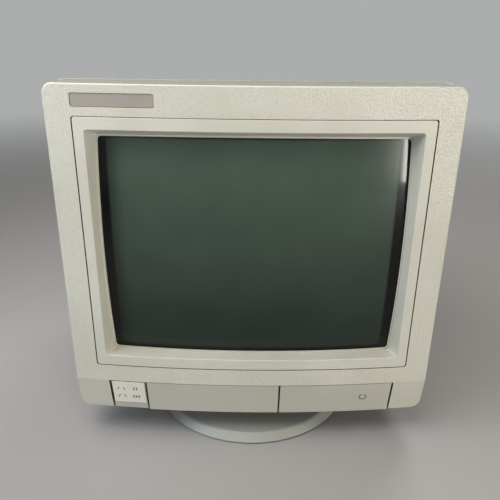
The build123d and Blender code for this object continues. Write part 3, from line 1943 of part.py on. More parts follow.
def connector_plate():
    """The steel plate behind the rear window, pierced for the connectors."""
    plate = block(
        -plate_half_width, plate_half_width, plate_y, plate_y + plate_wall, plate_low, plate_high
    )
    through = (plate_y - overrun, plate_y + plate_wall + overrun)
    for x in (port_first_x, port_second_x):
        plate -= block(
            x - port_shell_half_width - hole_play,
            x + port_shell_half_width + hole_play,
            *through,
            port_height - port_shell_half_height - hole_play,
            port_height + port_shell_half_height + hole_play,
        )
        for side in (-1, 1):
            plate -= rod_y(x + side * jack_spacing / 2, *through, port_height, jack_bore_radius)
    plate -= block(
        inlet_x - inlet_half_width - hole_play,
        inlet_x + inlet_half_width + hole_play,
        *through,
        inlet_height - inlet_half_height - hole_play,
        inlet_height + inlet_half_height + hole_play,
    )
    return plate - block(
        key_jack_x - key_jack_half_width - hole_play,
        key_jack_x + key_jack_half_width + hole_play,
        *through,
        main_board_top - hole_play,
        key_jack_height + key_jack_half_height + hole_play,
    )


def d_outline(grow):
    """The D-shaped outline of a port's shell."""
    wide = port_shell_half_width + grow
    narrow = wide - port_shell_taper
    half = port_shell_half_height + grow
    return [(-wide, half), (wide, half), (narrow, -half), (-narrow, -half)]


def d_prism(x, y_from, y_to, grow):
    """A D-shaped bar along Y."""
    points = [(x + px, y_from, port_height + pz) for px, pz in d_outline(grow)]
    return extrude(make_face(Polyline(*points, close=True)), y_to - y_from, dir=(0, 1, 0))


def d_port(x):
    """A 25-way port: body behind the plate, flange and D-shaped shell before it."""
    face = plate_y + plate_wall
    port = block(
        x - port_flange_half_width,
        x + port_flange_half_width,
        face,
        face + port_flange_wall,
        port_height - port_flange_half_height,
        port_height + port_flange_half_height,
    )
    port += d_prism(x, plate_y - port_body_length, face + port_flange_wall + port_shell_reach, -hole_play)
    port += block(
        x - port_shell_half_width + port_shell_taper,
        x + port_shell_half_width - port_shell_taper,
        plate_y - port_body_length,
        plate_y - seat_gap,
        main_board_top,
        port_height,
    )
    for side in (-1, 1):
        hole_x = x + side * jack_spacing / 2
        port -= rod_y(hole_x, plate_y, face + port_flange_wall + overrun, port_height, jack_bore_radius)
    for row, count in ((1, upper_pin_count), (-1, lower_pin_count)):
        for index in range(count):
            pin_x = x + (index - (count - 1) / 2) * port_pin_pitch
            pin_z = port_height + row * port_pin_rise
            end = face + port_flange_wall + port_shell_reach
            port -= block(
                pin_x - pin_radius, pin_x + pin_radius, end - overrun, end + overrun,
                pin_z - pin_radius, pin_z + pin_radius,
            )
    return port


def host_port():
    """The port for the host, on the left seen from behind."""
    return d_port(port_first_x)


def printer_port():
    """The port for a printer, beside the first."""
    return d_port(port_second_x)


def jack_screws():
    """The four female jack screws of the two ports."""
    face = plate_y + plate_wall + port_flange_wall
    screws = []
    for x in (port_first_x, port_second_x):
        for side in (-1, 1):
            place = x + side * jack_spacing / 2
            nut = hex_bar(face, face + jack_reach, place, port_height, jack_radius)
            nut -= rod_y(place, face - overrun, face + jack_reach + overrun, port_height,
                         jack_bore_radius)
            screws.append(nut)
    return screws


def power_inlet():
    """The three-pin mains inlet with its open recess."""
    face = plate_y + plate_wall
    front = face + inlet_flange_wall
    body = block(
        inlet_x - inlet_half_width,
        inlet_x + inlet_half_width,
        front - inlet_body_length,
        front,
        inlet_height - inlet_half_height,
        inlet_height + inlet_half_height,
    )
    body += block(
        inlet_x - inlet_half_width - inlet_flange,
        inlet_x + inlet_half_width + inlet_flange,
        face,
        front,
        inlet_height - inlet_half_height - inlet_flange,
        inlet_height + inlet_half_height + inlet_flange,
    )
    floor = front - inlet_recess_depth
    body -= block(
        inlet_x - inlet_recess_half_width,
        inlet_x + inlet_recess_half_width,
        floor,
        front + overrun,
        inlet_height - inlet_recess_half_height,
        inlet_height + inlet_recess_half_height,
    )
    for step in (-1, 0, 1):
        x = inlet_x + step * inlet_pin_spacing
        z = inlet_height - inlet_pin_drop + inlet_pin_rise * (1 if step == 0 else -1)
        body += block(
            x - inlet_pin_half_height,
            x + inlet_pin_half_height,
            floor - overrun,
            floor + inlet_pin_length,
            z - inlet_pin_half_width,
            z + inlet_pin_half_width,
        )
    return body


def keyboard_jack():
    """The modular jack for the keyboard, open to the rear."""
    front = plate_y + plate_wall + seat_gap
    back = front - key_jack_length
    body = block(
        key_jack_x - key_jack_half_width,
        key_jack_x + key_jack_half_width,
        back,
        front,
        main_board_top,
        key_jack_height + key_jack_half_height,
    )
    return body - block(
        key_jack_x - key_jack_hole_half_width,
        key_jack_x + key_jack_hole_half_width,
        front - key_jack_hole_depth,
        front + overrun,
        key_jack_height - key_jack_hole_half_height,
        key_jack_height + key_jack_hole_half_height,
    )


def anode_lead():
    """The insulated high-voltage lead from the flyback transformer to the anode cap."""
    rise = bulb_depths[2] - bulb_depths[1]
    run = glass_half_width * (bulb_width_shares[1] - bulb_width_shares[2])
    tilt = math.atan2(run, rise)
    out = anode_wall * 2 + anode_crown_height / 2 + seat_gap
    start_x = anode_place() + out * math.cos(tilt)
    start_y = depth(anode_side_depth) + out * math.sin(tilt)
    fly_start, fly_end, fly_low, fly_high = flyback_places()
    end = (power_board_x - flyback_width / 5, fly_end - flyback_core / 2, fly_high + seat_gap)
    points = [
        (start_x, start_y, tube_height + anode_crown_radius),
        (start_x + anode_radius, start_y + anode_radius, tube_height + anode_crown_radius * 2),
        (start_x, start_y + anode_radius * 3, tube_height + anode_crown_radius * 3),
        (end[0] + anode_radius / 2, end[1] - anode_radius * 2, tube_height + anode_crown_radius),
        (end[0], end[1], fly_high + anode_radius * 2),
        end,
    ]
    return tube_along(points, lead_radius)


def tube_along(points, radius):
    """A round tube along straight runs joined by tangent arcs."""
    vectors = [Vector(*point) for point in points]
    radii = []
    for before, here, after in zip(vectors, vectors[1:], vectors[2:]):
        turn = (here - before).get_angle(after - here)
        run = min((here - before).length, (after - here).length)
        radii.append(lead_bend_share * run / math.tan(math.radians(turn / 2)))
    path = FilletPolyline(*points, radius=radii)
    start = Plane(path @ 0, z_dir=path % 0)
    return sweep(start * Circle(radius), path)


nodes = {
    "base_disc": base_disc,
    "rubber_feet": rubber_feet,
    "bowl_pads": bowl_pads,
    "pivot_bolt": pivot_bolt,
    "stop_washer": stop_washer,
    "saddle_washer": saddle_washer,
    "wave_washer": wave_washer,
    "lock_nut": lock_nut,
    "front_bezel": front_bezel,
    "screen_surround": screen_surround,
    "name_plate": name_plate,
    "blank_panel": blank_panel,
    "control_panel": control_panel,
    "control_label": control_label,
    "power_button": power_button,
    "push_rod": push_rod,
    "button_spring": button_spring,
    "power_switch": power_switch,
    "switch_screws": switch_screws,
    "brightness_wheel": brightness_wheel,
    "contrast_wheel": contrast_wheel,
    "control_pots": control_pots,
    "control_board": control_board,
    "crt_faceplate": crt_faceplate,
    "crt_funnel": crt_funnel,
    "crt_rim_band": crt_rim_band,
    "crt_screws": crt_screws,
    "electron_gun": electron_gun,
    "crt_base": crt_base,
    "crt_socket": crt_socket,
    "neck_board": neck_board,
    "deflection_yoke": deflection_yoke,
    "yoke_core": yoke_core,
    "yoke_clamp": yoke_clamp,
    "centring_rings": centring_rings,
    "anode_cap": anode_cap,
    "anode_lead": anode_lead,
    "rear_housing": rear_housing,
    "housing_screws": housing_screws,
    "tilt_dome": tilt_dome,
    "dome_screws": dome_screws,
    "chassis_tray": chassis_tray,
    "tray_screws": tray_screws,
    "main_board": main_board,
    "board_screws": board_screws,
    "logic_chips": logic_chips,
    "board_capacitors": board_capacitors,
    "beeper": beeper,
    "power_board": power_board,
    "flyback_transformer": flyback_transformer,
    "power_transformer": power_transformer,
    "heat_sink": heat_sink,
    "filter_capacitors": filter_capacitors,
    "connector_plate": connector_plate,
    "host_port": host_port,
    "printer_port": printer_port,
    "jack_screws": jack_screws,
    "power_inlet": power_inlet,
    "keyboard_jack": keyboard_jack,
}


def write_nodes():
    """Write each node to its own file."""
    os.makedirs("parts", exist_ok=True)
    for name, make in nodes.items():
        made = make()
        pieces = made if isinstance(made, list) else [made]
        solids = [solid for piece in pieces for solid in piece.solids()]
        shape = solids[0] if len(solids) == 1 else Compound(children=solids)
        shape.label = name
        export_step(shape, os.path.join("parts", name + ".step"))


write_nodes()
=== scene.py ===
# %% [markdown]
# # A display terminal on its tilt and swivel base
# The real object is a 14-inch tube in a putty-coloured moulded case. Its exact solids come
# from CAD, and this lesson gives them their surfaces, adds the small printed and pressed
# details, and sets the light and the camera. The first cell loads those solids as a fixed
# frame. They could be modelled here again, but then the looks and the measured part would
# drift apart, so every piece below takes its place from the frame.

# %% Load the frame and keep its box
import math

import bmesh
import bpy
from mathutils import Euler, Matrix, Vector


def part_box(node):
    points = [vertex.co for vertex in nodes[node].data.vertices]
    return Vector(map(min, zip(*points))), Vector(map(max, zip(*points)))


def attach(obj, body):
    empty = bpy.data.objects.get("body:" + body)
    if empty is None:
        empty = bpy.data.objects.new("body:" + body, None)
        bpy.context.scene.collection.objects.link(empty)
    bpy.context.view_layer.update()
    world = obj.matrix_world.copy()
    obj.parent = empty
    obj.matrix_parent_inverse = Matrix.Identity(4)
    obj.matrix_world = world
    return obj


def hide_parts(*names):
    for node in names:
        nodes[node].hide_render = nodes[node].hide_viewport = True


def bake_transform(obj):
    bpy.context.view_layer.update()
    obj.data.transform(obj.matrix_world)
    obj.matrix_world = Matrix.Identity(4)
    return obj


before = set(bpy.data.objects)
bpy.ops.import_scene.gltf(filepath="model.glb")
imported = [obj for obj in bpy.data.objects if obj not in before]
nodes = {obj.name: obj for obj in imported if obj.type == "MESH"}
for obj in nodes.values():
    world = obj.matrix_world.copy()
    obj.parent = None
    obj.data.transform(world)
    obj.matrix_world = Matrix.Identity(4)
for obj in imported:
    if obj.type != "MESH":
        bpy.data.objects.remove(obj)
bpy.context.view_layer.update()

# %% [markdown]
# ## Units, colours and nodes
# Blender's shader colours are linear, while a colour given in hex is sRGB, so one function
# turns a hex value into a linear one. Patterns are sized in millimetres: a noise texture of
# scale 1 has features about a metre wide when it reads Object coordinates, so a feature of
# `size` millimetres needs a scale of 1000 / size. One more function adds a shader node,
# because a material is easier to read as a list of nodes than as clicks.

# %% Helpers for units, colours and nodes
MM = 0.001


def linear(hex_colour):
    """A linear RGBA colour from an sRGB hex string."""
    channels = [int(hex_colour[i:i + 2], 16) / 255 for i in (1, 3, 5)]
    return [c / 12.92 if c <= 0.04045 else ((c + 0.055) / 1.055) ** 2.4 for c in channels] + [1.0]


def per_mm(size):
    """The texture scale that makes features of this size in millimetres."""
    return 1 / (size * MM)


def add(tree, kind, settings=None, **inputs):
    """Add a shader node, set its properties, and set or link its inputs by name or number."""
    node = tree.nodes.new(kind)
    for name, value in (settings or {}).items():
        setattr(node, name, value)
    for name, value in inputs.items():
        socket = node.inputs[int(name[1:])] if name[1:].isdigit() else node.inputs[name.replace("_", " ")]
        if isinstance(value, bpy.types.NodeSocket):
            tree.links.new(value, socket)
        else:
            socket.default_value = value
    return node


def new_material(name):
    """An empty material: its tree, its Principled shader and Object coordinates."""
    material = bpy.data.materials.new(name)
    material.use_nodes = True
    tree = material.node_tree
    shader = tree.nodes["Principled BSDF"]
    place = add(tree, "ShaderNodeTexCoord").outputs["Object"]
    return material, tree, shader, place


def blend_colours(tree, factor, first, second):
    """A colour between two others by a 0 to 1 factor."""
    mix = add(tree, "ShaderNodeMix", {"data_type": "RGBA"}, _0=factor, _6=first, _7=second)
    return mix.outputs[2]


def range_of(tree, value, low, high, to_low=0.0, to_high=1.0):
    """A value moved from one range to another, eased at both ends."""
    settings = {"interpolation_type": "SMOOTHSTEP"}
    ranged = add(tree, "ShaderNodeMapRange", settings, Value=value, From_Min=low, From_Max=high,
                 To_Min=to_low, To_Max=to_high)
    return ranged.outputs["Result"]


def dress(material, *names):
    """Give a CAD node's every slot one material."""
    for name in names:
        slots = nodes[name].material_slots
        if not slots:
            nodes[name].data.materials.append(material)
        for slot in slots:
            slot.material = material


print("helpers ready; a 1 mm grain has scale", per_mm(1))

# %% [markdown]
# ## Moulded ABS with a grained skin
# The case is ABS, moulded in a tool whose steel was spark-eroded, which leaves a fine pebble
# on the outside. ABS has an IOR near 1.54. Its skin is half glossy, so the roughness lies
# between 0.3 and 0.45, and the pebble breaks the shine up. The real pebble is about half a
# millimetre across, too fine for this picture, so it is drawn at about one. A slow noise adds
# the faint unevenness of an old case, and a second one a thin film of handling dirt. Two
# darkenings follow the shape: painted shade in the seams, slots and recesses, found by
# ambient occlusion within a few millimetres, and a darker tone where the surface looks
# straight up. Both could be painted by hand, but the shape already says where they belong.

# %% Moulded ABS
ABS_IOR = 1.54
CREVICE = 4
DIRT = "#8f8c7e"
TOP_TONE = "#6f6d62"
SHADE_PATCH = 70
DIRT_PATCH = 18


def moulded_abs(name, colour, aged, grain, grain_depth, roughness, dirt_share=0.05, top_darkening=0.0):
    """Grained ABS: grain and grain_depth are in millimetres."""
    material, tree, shader, place = new_material(name)
    slow = add(tree, "ShaderNodeTexNoise", Vector=place, Scale=per_mm(SHADE_PATCH), Detail=2.0)
    shade = range_of(tree, slow.outputs["Fac"], 0.35, 0.65)
    tint = blend_colours(tree, shade, linear(colour), linear(aged))
    film = add(tree, "ShaderNodeTexNoise", Vector=place, Scale=per_mm(DIRT_PATCH), Detail=5.0,
               Roughness=0.65)
    soiled = range_of(tree, film.outputs["Fac"], 0.56, 0.8, 0.0, dirt_share)
    tint = blend_colours(tree, soiled, tint, linear(DIRT))
    pebble = add(tree, "ShaderNodeTexNoise", Vector=place, Scale=per_mm(grain), Detail=1.0,
                 Roughness=0.4)
    valley = range_of(tree, pebble.outputs["Fac"], 0.32, 0.56, min(0.19, grain_depth * 0.5), 0.0)
    tint = blend_colours(tree, valley, tint, linear(DIRT))
    # Surfaces that face straight up are blended towards a darker tone, by the share each material gives.
    upward = add(tree, "ShaderNodeSeparateXYZ", Vector=add(tree, "ShaderNodeNewGeometry").outputs["Normal"])
    facing_up = range_of(tree, upward.outputs["Z"], 0.8, 0.99, 0.0, top_darkening)
    tint = blend_colours(tree, facing_up, tint, linear(TOP_TONE))
    bump = add(tree, "ShaderNodeBump", Strength=1.0, Distance=grain_depth * MM,
               Height=pebble.outputs["Fac"])
    # Painted shade: where ambient occlusion finds a seam, slot or recess within CREVICE millimetres, the colour goes
    # near black.
    open_air = add(tree, "ShaderNodeAmbientOcclusion", {"samples": 8}, Distance=CREVICE * MM)
    crevice_shade = range_of(tree, open_air.outputs["AO"], 0.2, 0.62, 0.97, 0.0)
    tint = blend_colours(tree, crevice_shade, tint, linear("#1d1c1a"))
    tree.links.new(tint, shader.inputs["Base Color"])
    tree.links.new(bump.outputs["Normal"], shader.inputs["Normal"])
    uneven = range_of(tree, film.outputs["Fac"], 0.3, 0.7, roughness - 0.02, roughness + 0.02)
    tree.links.new(uneven, shader.inputs["Roughness"])
    shader.inputs["IOR"].default_value = ABS_IOR
    return material


grained_case = moulded_abs("abs_grained_case", "#d4d3c5", "#cecdbd", 1.05, 0.36, 0.3, top_darkening=0.72)
smooth_surround = moulded_abs("abs_smooth_surround", "#d2d1c3", "#cccabb", 0.9, 0.03, 0.42)
chin_caps = moulded_abs("abs_chin_caps", "#c6c5b9", "#c0bfb2", 1.1, 0.05, 0.44, dirt_share=0.1)
base_plastic = moulded_abs("abs_base", "#a2a49c", "#9d9f96", 1.1, 0.04, 0.42, dirt_share=0.1)
rear_case = moulded_abs("abs_grained_rear_case", "#d2d1c3", "#cdcbbc", 1.5, 0.35, 0.4, top_darkening=0.6)
badge_plastic = moulded_abs("abs_taupe_badge", "#a59e96", "#9f988f", 0.8, 0.01, 0.4)
label_plastic = moulded_abs("abs_cream_label", "#efece0", "#e9e6d8", 0.8, 0.05, 0.4)

dress(grained_case, "front_bezel")
dress(smooth_surround, "screen_surround")
dress(chin_caps, "blank_panel", "power_button", "control_panel")
dress(label_plastic, "control_label")
dress(badge_plastic, "name_plate")
dress(base_plastic, "base_disc")
dress(rear_case, "rear_housing")
dress(base_plastic, "tilt_dome")
print("plastics:", [m.name for m in bpy.data.materials if m.name.startswith("abs_")])

# %% [markdown]
# ## The tube's face
# Behind the thick glass lies a grey-green phosphor with a black border, and the glass adds a
# sharp reflection on top. Real glass over a real coating would need many samples to clear, so
# the face is one shader: the phosphor below is matt, and a clear coat with the IOR of glass
# above it gives the reflection, over a wider and weaker haze from the glass's etched skin. The
# tinted glass bulges forward and the light comes from above, so the phosphor darkens from top
# to bottom, which a blend along the height gives. The border is worked out from the distance
# to a rounded rectangle, read from Object coordinates. A second rectangle, set off to the
# right, gives the shade that the lip throws through the thick glass, most of all at the left.

# %% Phosphor under glass
GLASS_IOR = 1.52
PHOSPHOR_MIDDLE = (-0.0008, 0.1996)
PHOSPHOR_HALF = (0.1223, 0.0976)
PHOSPHOR_CORNER = 0.004
PHOSPHOR_EDGE = 0.0015
OPEN_MIDDLE = (0.0053, 0.2001)
OPEN_HALF = (0.1142, 0.0931)
SHADE_REACH = 0.016
SHADE_SHARE = 0.6


def rounded_distance(tree, place, middle, half, corner):
    """The distance outside a rounded rectangle in the X and Z of Object coordinates."""
    split = add(tree, "ShaderNodeSeparateXYZ", Vector=place)
    beyond = []
    for axis, centre, reach in (("X", middle[0], half[0]), ("Z", middle[1], half[1])):
        moved = add(tree, "ShaderNodeMath", {"operation": "SUBTRACT"}, _0=split.outputs[axis], _1=centre)
        size = add(tree, "ShaderNodeMath", {"operation": "ABSOLUTE"}, _0=moved.outputs[0])
        past = add(tree, "ShaderNodeMath", {"operation": "SUBTRACT"}, _0=size.outputs[0],
                   _1=reach - corner)
        beyond.append(add(tree, "ShaderNodeMath", {"operation": "MAXIMUM"}, _0=past.outputs[0], _1=0.0))
    pair = add(tree, "ShaderNodeCombineXYZ", X=beyond[0].outputs[0], Y=beyond[1].outputs[0])
    length = add(tree, "ShaderNodeVectorMath", {"operation": "LENGTH"}, _0=pair.outputs[0])
    return add(tree, "ShaderNodeMath", {"operation": "SUBTRACT"}, _0=length.outputs["Value"],
               _1=corner).outputs[0]


def phosphor_glass():
    """The front of the picture tube."""
    material, tree, shader, place = new_material("glass_over_phosphor")
    outside = rounded_distance(tree, place, PHOSPHOR_MIDDLE, PHOSPHOR_HALF, PHOSPHOR_CORNER)
    border = range_of(tree, outside, -PHOSPHOR_EDGE, PHOSPHOR_EDGE)
    near_edge = rounded_distance(tree, place, OPEN_MIDDLE, OPEN_HALF, 0.0)
    shade = range_of(tree, near_edge, 0.0, SHADE_REACH, 0.0, SHADE_SHARE)
    mottle = add(tree, "ShaderNodeTexNoise", Vector=place, Scale=per_mm(45), Detail=2.0)
    tone = range_of(tree, mottle.outputs["Fac"], 0.3, 0.7)
    upper = blend_colours(tree, tone, linear("#47564b"), linear("#435247"))
    lower = blend_colours(tree, tone, linear("#232e27"), linear("#202b24"))
    split = add(tree, "ShaderNodeSeparateXYZ", Vector=place)
    rise = range_of(tree, split.outputs["Z"], 0.095, 0.285)
    phosphor = blend_colours(tree, rise, lower, upper)
    phosphor = blend_colours(tree, shade, phosphor, linear("#050706"))
    tint = blend_colours(tree, border, phosphor, linear("#030303"))
    tree.links.new(tint, shader.inputs["Base Color"])
    shader.inputs["Roughness"].default_value = 0.2
    shader.inputs["Specular IOR Level"].default_value = 0.15
    shader.inputs["Coat Weight"].default_value = 0.3
    shader.inputs["Coat Roughness"].default_value = 0.06
    shader.inputs["Coat IOR"].default_value = GLASS_IOR
    return material


dress(phosphor_glass(), "crt_faceplate")

# %% [markdown]
# ## Metals, rubber, boards and the other inner finishes
# Inside are the finishes of any electronics: zinc-plated and spring steel, copper wire on the
# yoke, grey ferrite, green solder mask, black phenolic and nylon. Most are seen only through
# the vents or with the case off, so each takes one short recipe: a colour that wanders
# between two values, a roughness, and a fine bump. A metal keeps the shader's own IOR.

# %% Inner finishes
def finish_of(name, first, second, patch, roughness, metallic=0.0, bump_size=1.0, bump_depth=0.02):
    """A two-tone finish with a fine bump; patch, bump_size and bump_depth are in millimetres."""
    material, tree, shader, place = new_material(name)
    wander = add(tree, "ShaderNodeTexNoise", Vector=place, Scale=per_mm(patch), Detail=4.0)
    tone = range_of(tree, wander.outputs["Fac"], 0.35, 0.65)
    tree.links.new(blend_colours(tree, tone, linear(first), linear(second)), shader.inputs["Base Color"])
    fine = add(tree, "ShaderNodeTexNoise", Vector=place, Scale=per_mm(bump_size), Detail=2.0)
    bump = add(tree, "ShaderNodeBump", Strength=1.0, Distance=bump_depth * MM, Height=fine.outputs["Fac"])
    tree.links.new(bump.outputs["Normal"], shader.inputs["Normal"])
    rough = range_of(tree, wander.outputs["Fac"], 0.3, 0.7, roughness - 0.06, roughness + 0.06)
    tree.links.new(rough, shader.inputs["Roughness"])
    shader.inputs["Metallic"].default_value = metallic
    return material


zinc_steel = finish_of("steel_zinc_plated", "#c3c4c5", "#b3b4b2", 6, 0.36, metallic=1.0)
spring_steel = finish_of("steel_spring", "#8f9092", "#7c7d80", 5, 0.32, metallic=1.0)
plate_steel = finish_of("steel_plate_zinc", "#bdbebd", "#b5b6b4", 20, 0.45, metallic=1.0)
aluminium = finish_of("aluminium_extruded", "#c3c4c6", "#b2b3b5", 8, 0.38, metallic=1.0)
copper = finish_of("copper_enamelled_wire", "#8f4a24", "#6f3417", 3, 0.4, bump_size=0.6, bump_depth=0.12)
ferrite = finish_of("ferrite_core", "#3c3d3f", "#313233", 9, 0.62, bump_depth=0.05)
rubber = finish_of("rubber_moulded", "#1d1d1e", "#171718", 8, 0.72)
nylon = finish_of("nylon_natural", "#dcdbd0", "#d2d0c2", 9, 0.44)
black_phenolic = finish_of("phenolic_black", "#1b1b1c", "#242425", 7, 0.46)
blue_pot = finish_of("thermoset_blue", "#2a4a86", "#24407a", 6, 0.42)
solder_mask = finish_of("board_solder_mask", "#2b5a37", "#244d2f", 12, 0.36, bump_size=2.0)
socket_beige = finish_of("phenolic_beige", "#bcb69f", "#b2ab92", 8, 0.5)
dark_glass = finish_of("glass_dark_coated", "#1a1b1c", "#131415", 20, 0.3, bump_depth=0.01)
clear_stem = finish_of("glass_stem", "#a9b3ae", "#9ea9a4", 8, 0.16, bump_depth=0.005)
red_lead = finish_of("silicone_red_lead", "#8c2b22", "#7d251d", 9, 0.5)
blue_sleeve = finish_of("capacitor_sleeve", "#26303f", "#202936", 8, 0.4)

dress(zinc_steel, "pivot_bolt", "stop_washer", "saddle_washer", "lock_nut", "switch_screws",
      "crt_screws", "housing_screws", "dome_screws", "tray_screws", "board_screws", "electron_gun")
dress(spring_steel, "wave_washer", "button_spring", "crt_rim_band")
dress(plate_steel, "connector_plate", "chassis_tray")
dress(aluminium, "heat_sink")
dress(copper, "deflection_yoke")
dress(ferrite, "yoke_core")
dress(rubber, "rubber_feet", "anode_cap")
dress(nylon, "bowl_pads", "yoke_clamp", "push_rod")
dress(black_phenolic, "power_switch", "centring_rings", "beeper", "logic_chips", "keyboard_jack",
      "flyback_transformer", "brightness_wheel", "contrast_wheel")
dress(blue_pot, "control_pots")
dress(solder_mask, "control_board", "neck_board", "main_board", "power_board")
dress(socket_beige, "crt_socket", "power_transformer")
dress(dark_glass, "crt_funnel")
dress(clear_stem, "crt_base")
dress(red_lead, "anode_lead")
dress(blue_sleeve, "board_capacitors", "filter_capacitors")
dress(zinc_steel, "host_port", "printer_port", "jack_screws")
dress(black_phenolic, "power_inlet")
bare = [name for name, piece in nodes.items() if not piece.material_slots or "abs_" not in
        piece.material_slots[0].material.name and not piece.material_slots[0].material.use_nodes]
print("nodes without a finish:", bare)

# %% [markdown]
# ## Putting a mesh in place
# Every new piece is built with bmesh around its own origin, moved to its place inside its
# mesh, and left as an object at the origin, so that Object coordinates and the export see it
# where it really is. One function does this for all of them.

# %% Finishing a piece
def finish_piece(name, mesh, material, body, place=Matrix()):
    """Turn a bmesh into a piece that rides on a CAD body, or on no body when none is given."""
    bmesh.ops.transform(mesh, matrix=place, verts=mesh.verts)
    bmesh.ops.remove_doubles(mesh, verts=mesh.verts, dist=1e-6)
    bmesh.ops.recalc_face_normals(mesh, faces=mesh.faces)
    data = bpy.data.meshes.new(name)
    mesh.to_mesh(data)
    mesh.free()
    data.materials.append(material)
    piece = bpy.data.objects.new(name, data)
    bpy.context.scene.collection.objects.link(piece)
    if body:
        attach(piece, body)
    print(name, "faces:", len(data.polygons))
    return piece


# %% [markdown]
# ## Where the front face is
# The bezel bows from side to side, and its chin leans back below a crease. A printed mark has
# to lie on that face, so a ray is cast from the front onto the CAD node: the point that it
# hits and the face's direction there give the mark's place and tilt.

# %% Find a place on a face
def seat_on(name, x, z):
    """The place and tilt of the front of a CAD node at x and z, with local Z pointing out."""
    piece = nodes[name]
    hit, point, normal, _ = piece.ray_cast(Vector((x, -1.0, z)), Vector((0, 1, 0)))
    assert hit, name
    outward = normal if normal.y < 0 else -normal
    side = Vector((0, 0, 1)).cross(outward).normalized()
    upward = outward.cross(side)
    turn = Matrix((side, upward, outward)).transposed().to_4x4()
    return Matrix.Translation(point) @ turn


print("label face at", seat_on("control_label", -0.1178, 0.055).translation)

# %% [markdown]
# ## The control symbols and the standby ring
# The label carries four plain pictograms and the button a standby ring, tampo-printed in a
# dark ink. Printed ink is a few hundredths of a millimetre thick. Each stroke is a thin bar,
# made from a cube that is scaled and turned, and each ring part is a flat strip turned by
# spin, so they have a real edge instead of a painted one.

# %% Strokes and arcs of ink
INK_HEIGHT = 0.12 * MM
ink = finish_of("ink_grey_brown", "#57524a", "#4c4841", 3, 0.5)


def stroke(mesh, x, y, length, width, turn):
    """A printed bar, centred at x, y and turned from upright by degrees."""
    made = bmesh.ops.create_cube(mesh, size=1)["verts"]
    shape = Matrix.Translation((x * MM, y * MM, 0)) @ Matrix.Rotation(math.radians(turn), 4, "Z")
    bmesh.ops.scale(mesh, vec=(width * MM, length * MM, 2 * INK_HEIGHT), verts=made)
    bmesh.ops.transform(mesh, matrix=shape, verts=made)


def arc(mesh, x, y, radius, width, start, sweep, steps=20):
    """A printed arc round x, y; start and sweep are in degrees."""
    rim = []
    for reach in (radius - width / 2, radius + width / 2):
        for height in (-INK_HEIGHT, INK_HEIGHT):
            rim.append(mesh.verts.new((reach * MM, 0, height)))
    section = mesh.faces.new([rim[0], rim[1], rim[3], rim[2]])
    turn = Matrix.Rotation(math.radians(start), 3, "Z")
    bmesh.ops.rotate(mesh, cent=(0, 0, 0), matrix=turn, verts=rim)
    made = bmesh.ops.spin(mesh, geom=[section, *section.edges, *section.verts], cent=(0, 0, 0),
                          axis=(0, 0, 1), angle=math.radians(sweep), steps=steps)
    grown = set(rim) | {v for f in mesh.faces if f.is_valid for v in f.verts if not v.tag}
    for vert in grown:
        if not vert.tag:
            vert.co += Vector((x * MM, y * MM, 0))
            vert.tag = True
    return made


LABEL_MIDDLE = (-0.1178, 0.0545)
symbols = bmesh.new()
for row in (5.4, -4.9):
    for side in (-1, 1):
        stroke(symbols, -7.0 + side * 2.9, row, 3.8, 0.8, side * 28)
for step in (-1, 1):
    stroke(symbols, 6.7 + step * 1.3, 5.7, 3.6, 1.0, 0)
for vert in symbols.verts:
    vert.tag = True
arc(symbols, 6.8, -4.9, 3.0, 0.7, -50, 100)
arc(symbols, 6.8, -4.9, 3.0, 0.7, 130, 100)
arc(symbols, 6.8, -4.9, 0.7, 0.9, 0, 359.9)
finish_piece("control_symbols", symbols, ink, "head",
             seat_on("control_label", *LABEL_MIDDLE))

ring = bmesh.new()
arc(ring, 0, 0, 3.3, 0.9, 110, 320, steps=40)
finish_piece("standby_ring", ring, ink, "button",
             seat_on("power_button", 0.1077, 0.0517))

# %% [markdown]
# ## Contacts of the rear connectors
# A D-type port is a zinc-plated shell round a black insert, and each of its 25 holes shows a
# gilt contact. The mains inlet has three blades of nickel-plated brass. They are small, but
# they're what makes a connector look real, so they're made as pieces of their own: a thin
# insert with bevelled corners, a ring for every hole, and a sleeve over every blade.

# %% Port inserts, gilt rings and inlet blades
PIN_PITCH = 2.76
PIN_RISE = 1.42
INSERT_HALF = (18.4, 3.2)
INSERT_TAPER = 1.3
INSERT_DEPTH = 0.2
black_insert = finish_of("polyester_black_insert", "#1c1c1d", "#222223", 6, 0.5)
gilt = finish_of("gilt_contacts", "#c9a24e", "#b8923f", 2, 0.3, metallic=1.0)
nickel = finish_of("nickel_blades", "#c6c3ba", "#b4b1a8", 3, 0.3, metallic=1.0)


def port_face(name):
    """The middle of a port's mating face, with local Z pointing out to the back."""
    low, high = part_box(name)
    middle = ((low[0] + high[0]) / 2, high[1], (low[2] + high[2]) / 2)
    return Matrix.Translation(middle) @ Matrix.Rotation(math.radians(-90), 4, "X")


for name in ("host_port", "printer_port"):
    insert = bmesh.new()
    wide, half = INSERT_HALF
    outline = ((-wide, -half), (wide, -half), (wide - INSERT_TAPER, half), (INSERT_TAPER - wide, half))
    rim = [insert.verts.new((x * MM, y * MM, 0)) for x, y in outline]
    face = insert.faces.new(rim)
    bmesh.ops.bevel(insert, geom=rim, offset=0.9 * MM, segments=4, affect="VERTICES")
    grown = bmesh.ops.extrude_face_region(insert, geom=insert.faces[:])["geom"]
    lifted = [v for v in grown if isinstance(v, bmesh.types.BMVert)]
    bmesh.ops.translate(insert, vec=(0, 0, INSERT_DEPTH * MM), verts=lifted)
    finish_piece(f"{name}_insert", insert, black_insert, "head", port_face(name))
    contacts = bmesh.new()
    for row, count in ((1, 13), (-1, 12)):
        for index in range(count):
            x = (index - (count - 1) / 2) * PIN_PITCH
            spot = Matrix.Translation((x * MM, -row * PIN_RISE * MM, (INSERT_DEPTH + 0.05) * MM))
            bmesh.ops.create_cone(contacts, cap_ends=True, segments=12, radius1=0.62 * MM,
                                  radius2=0.5 * MM, depth=0.3 * MM, matrix=spot)
    finish_piece(f"{name}_contacts", contacts, gilt, "head", port_face(name))

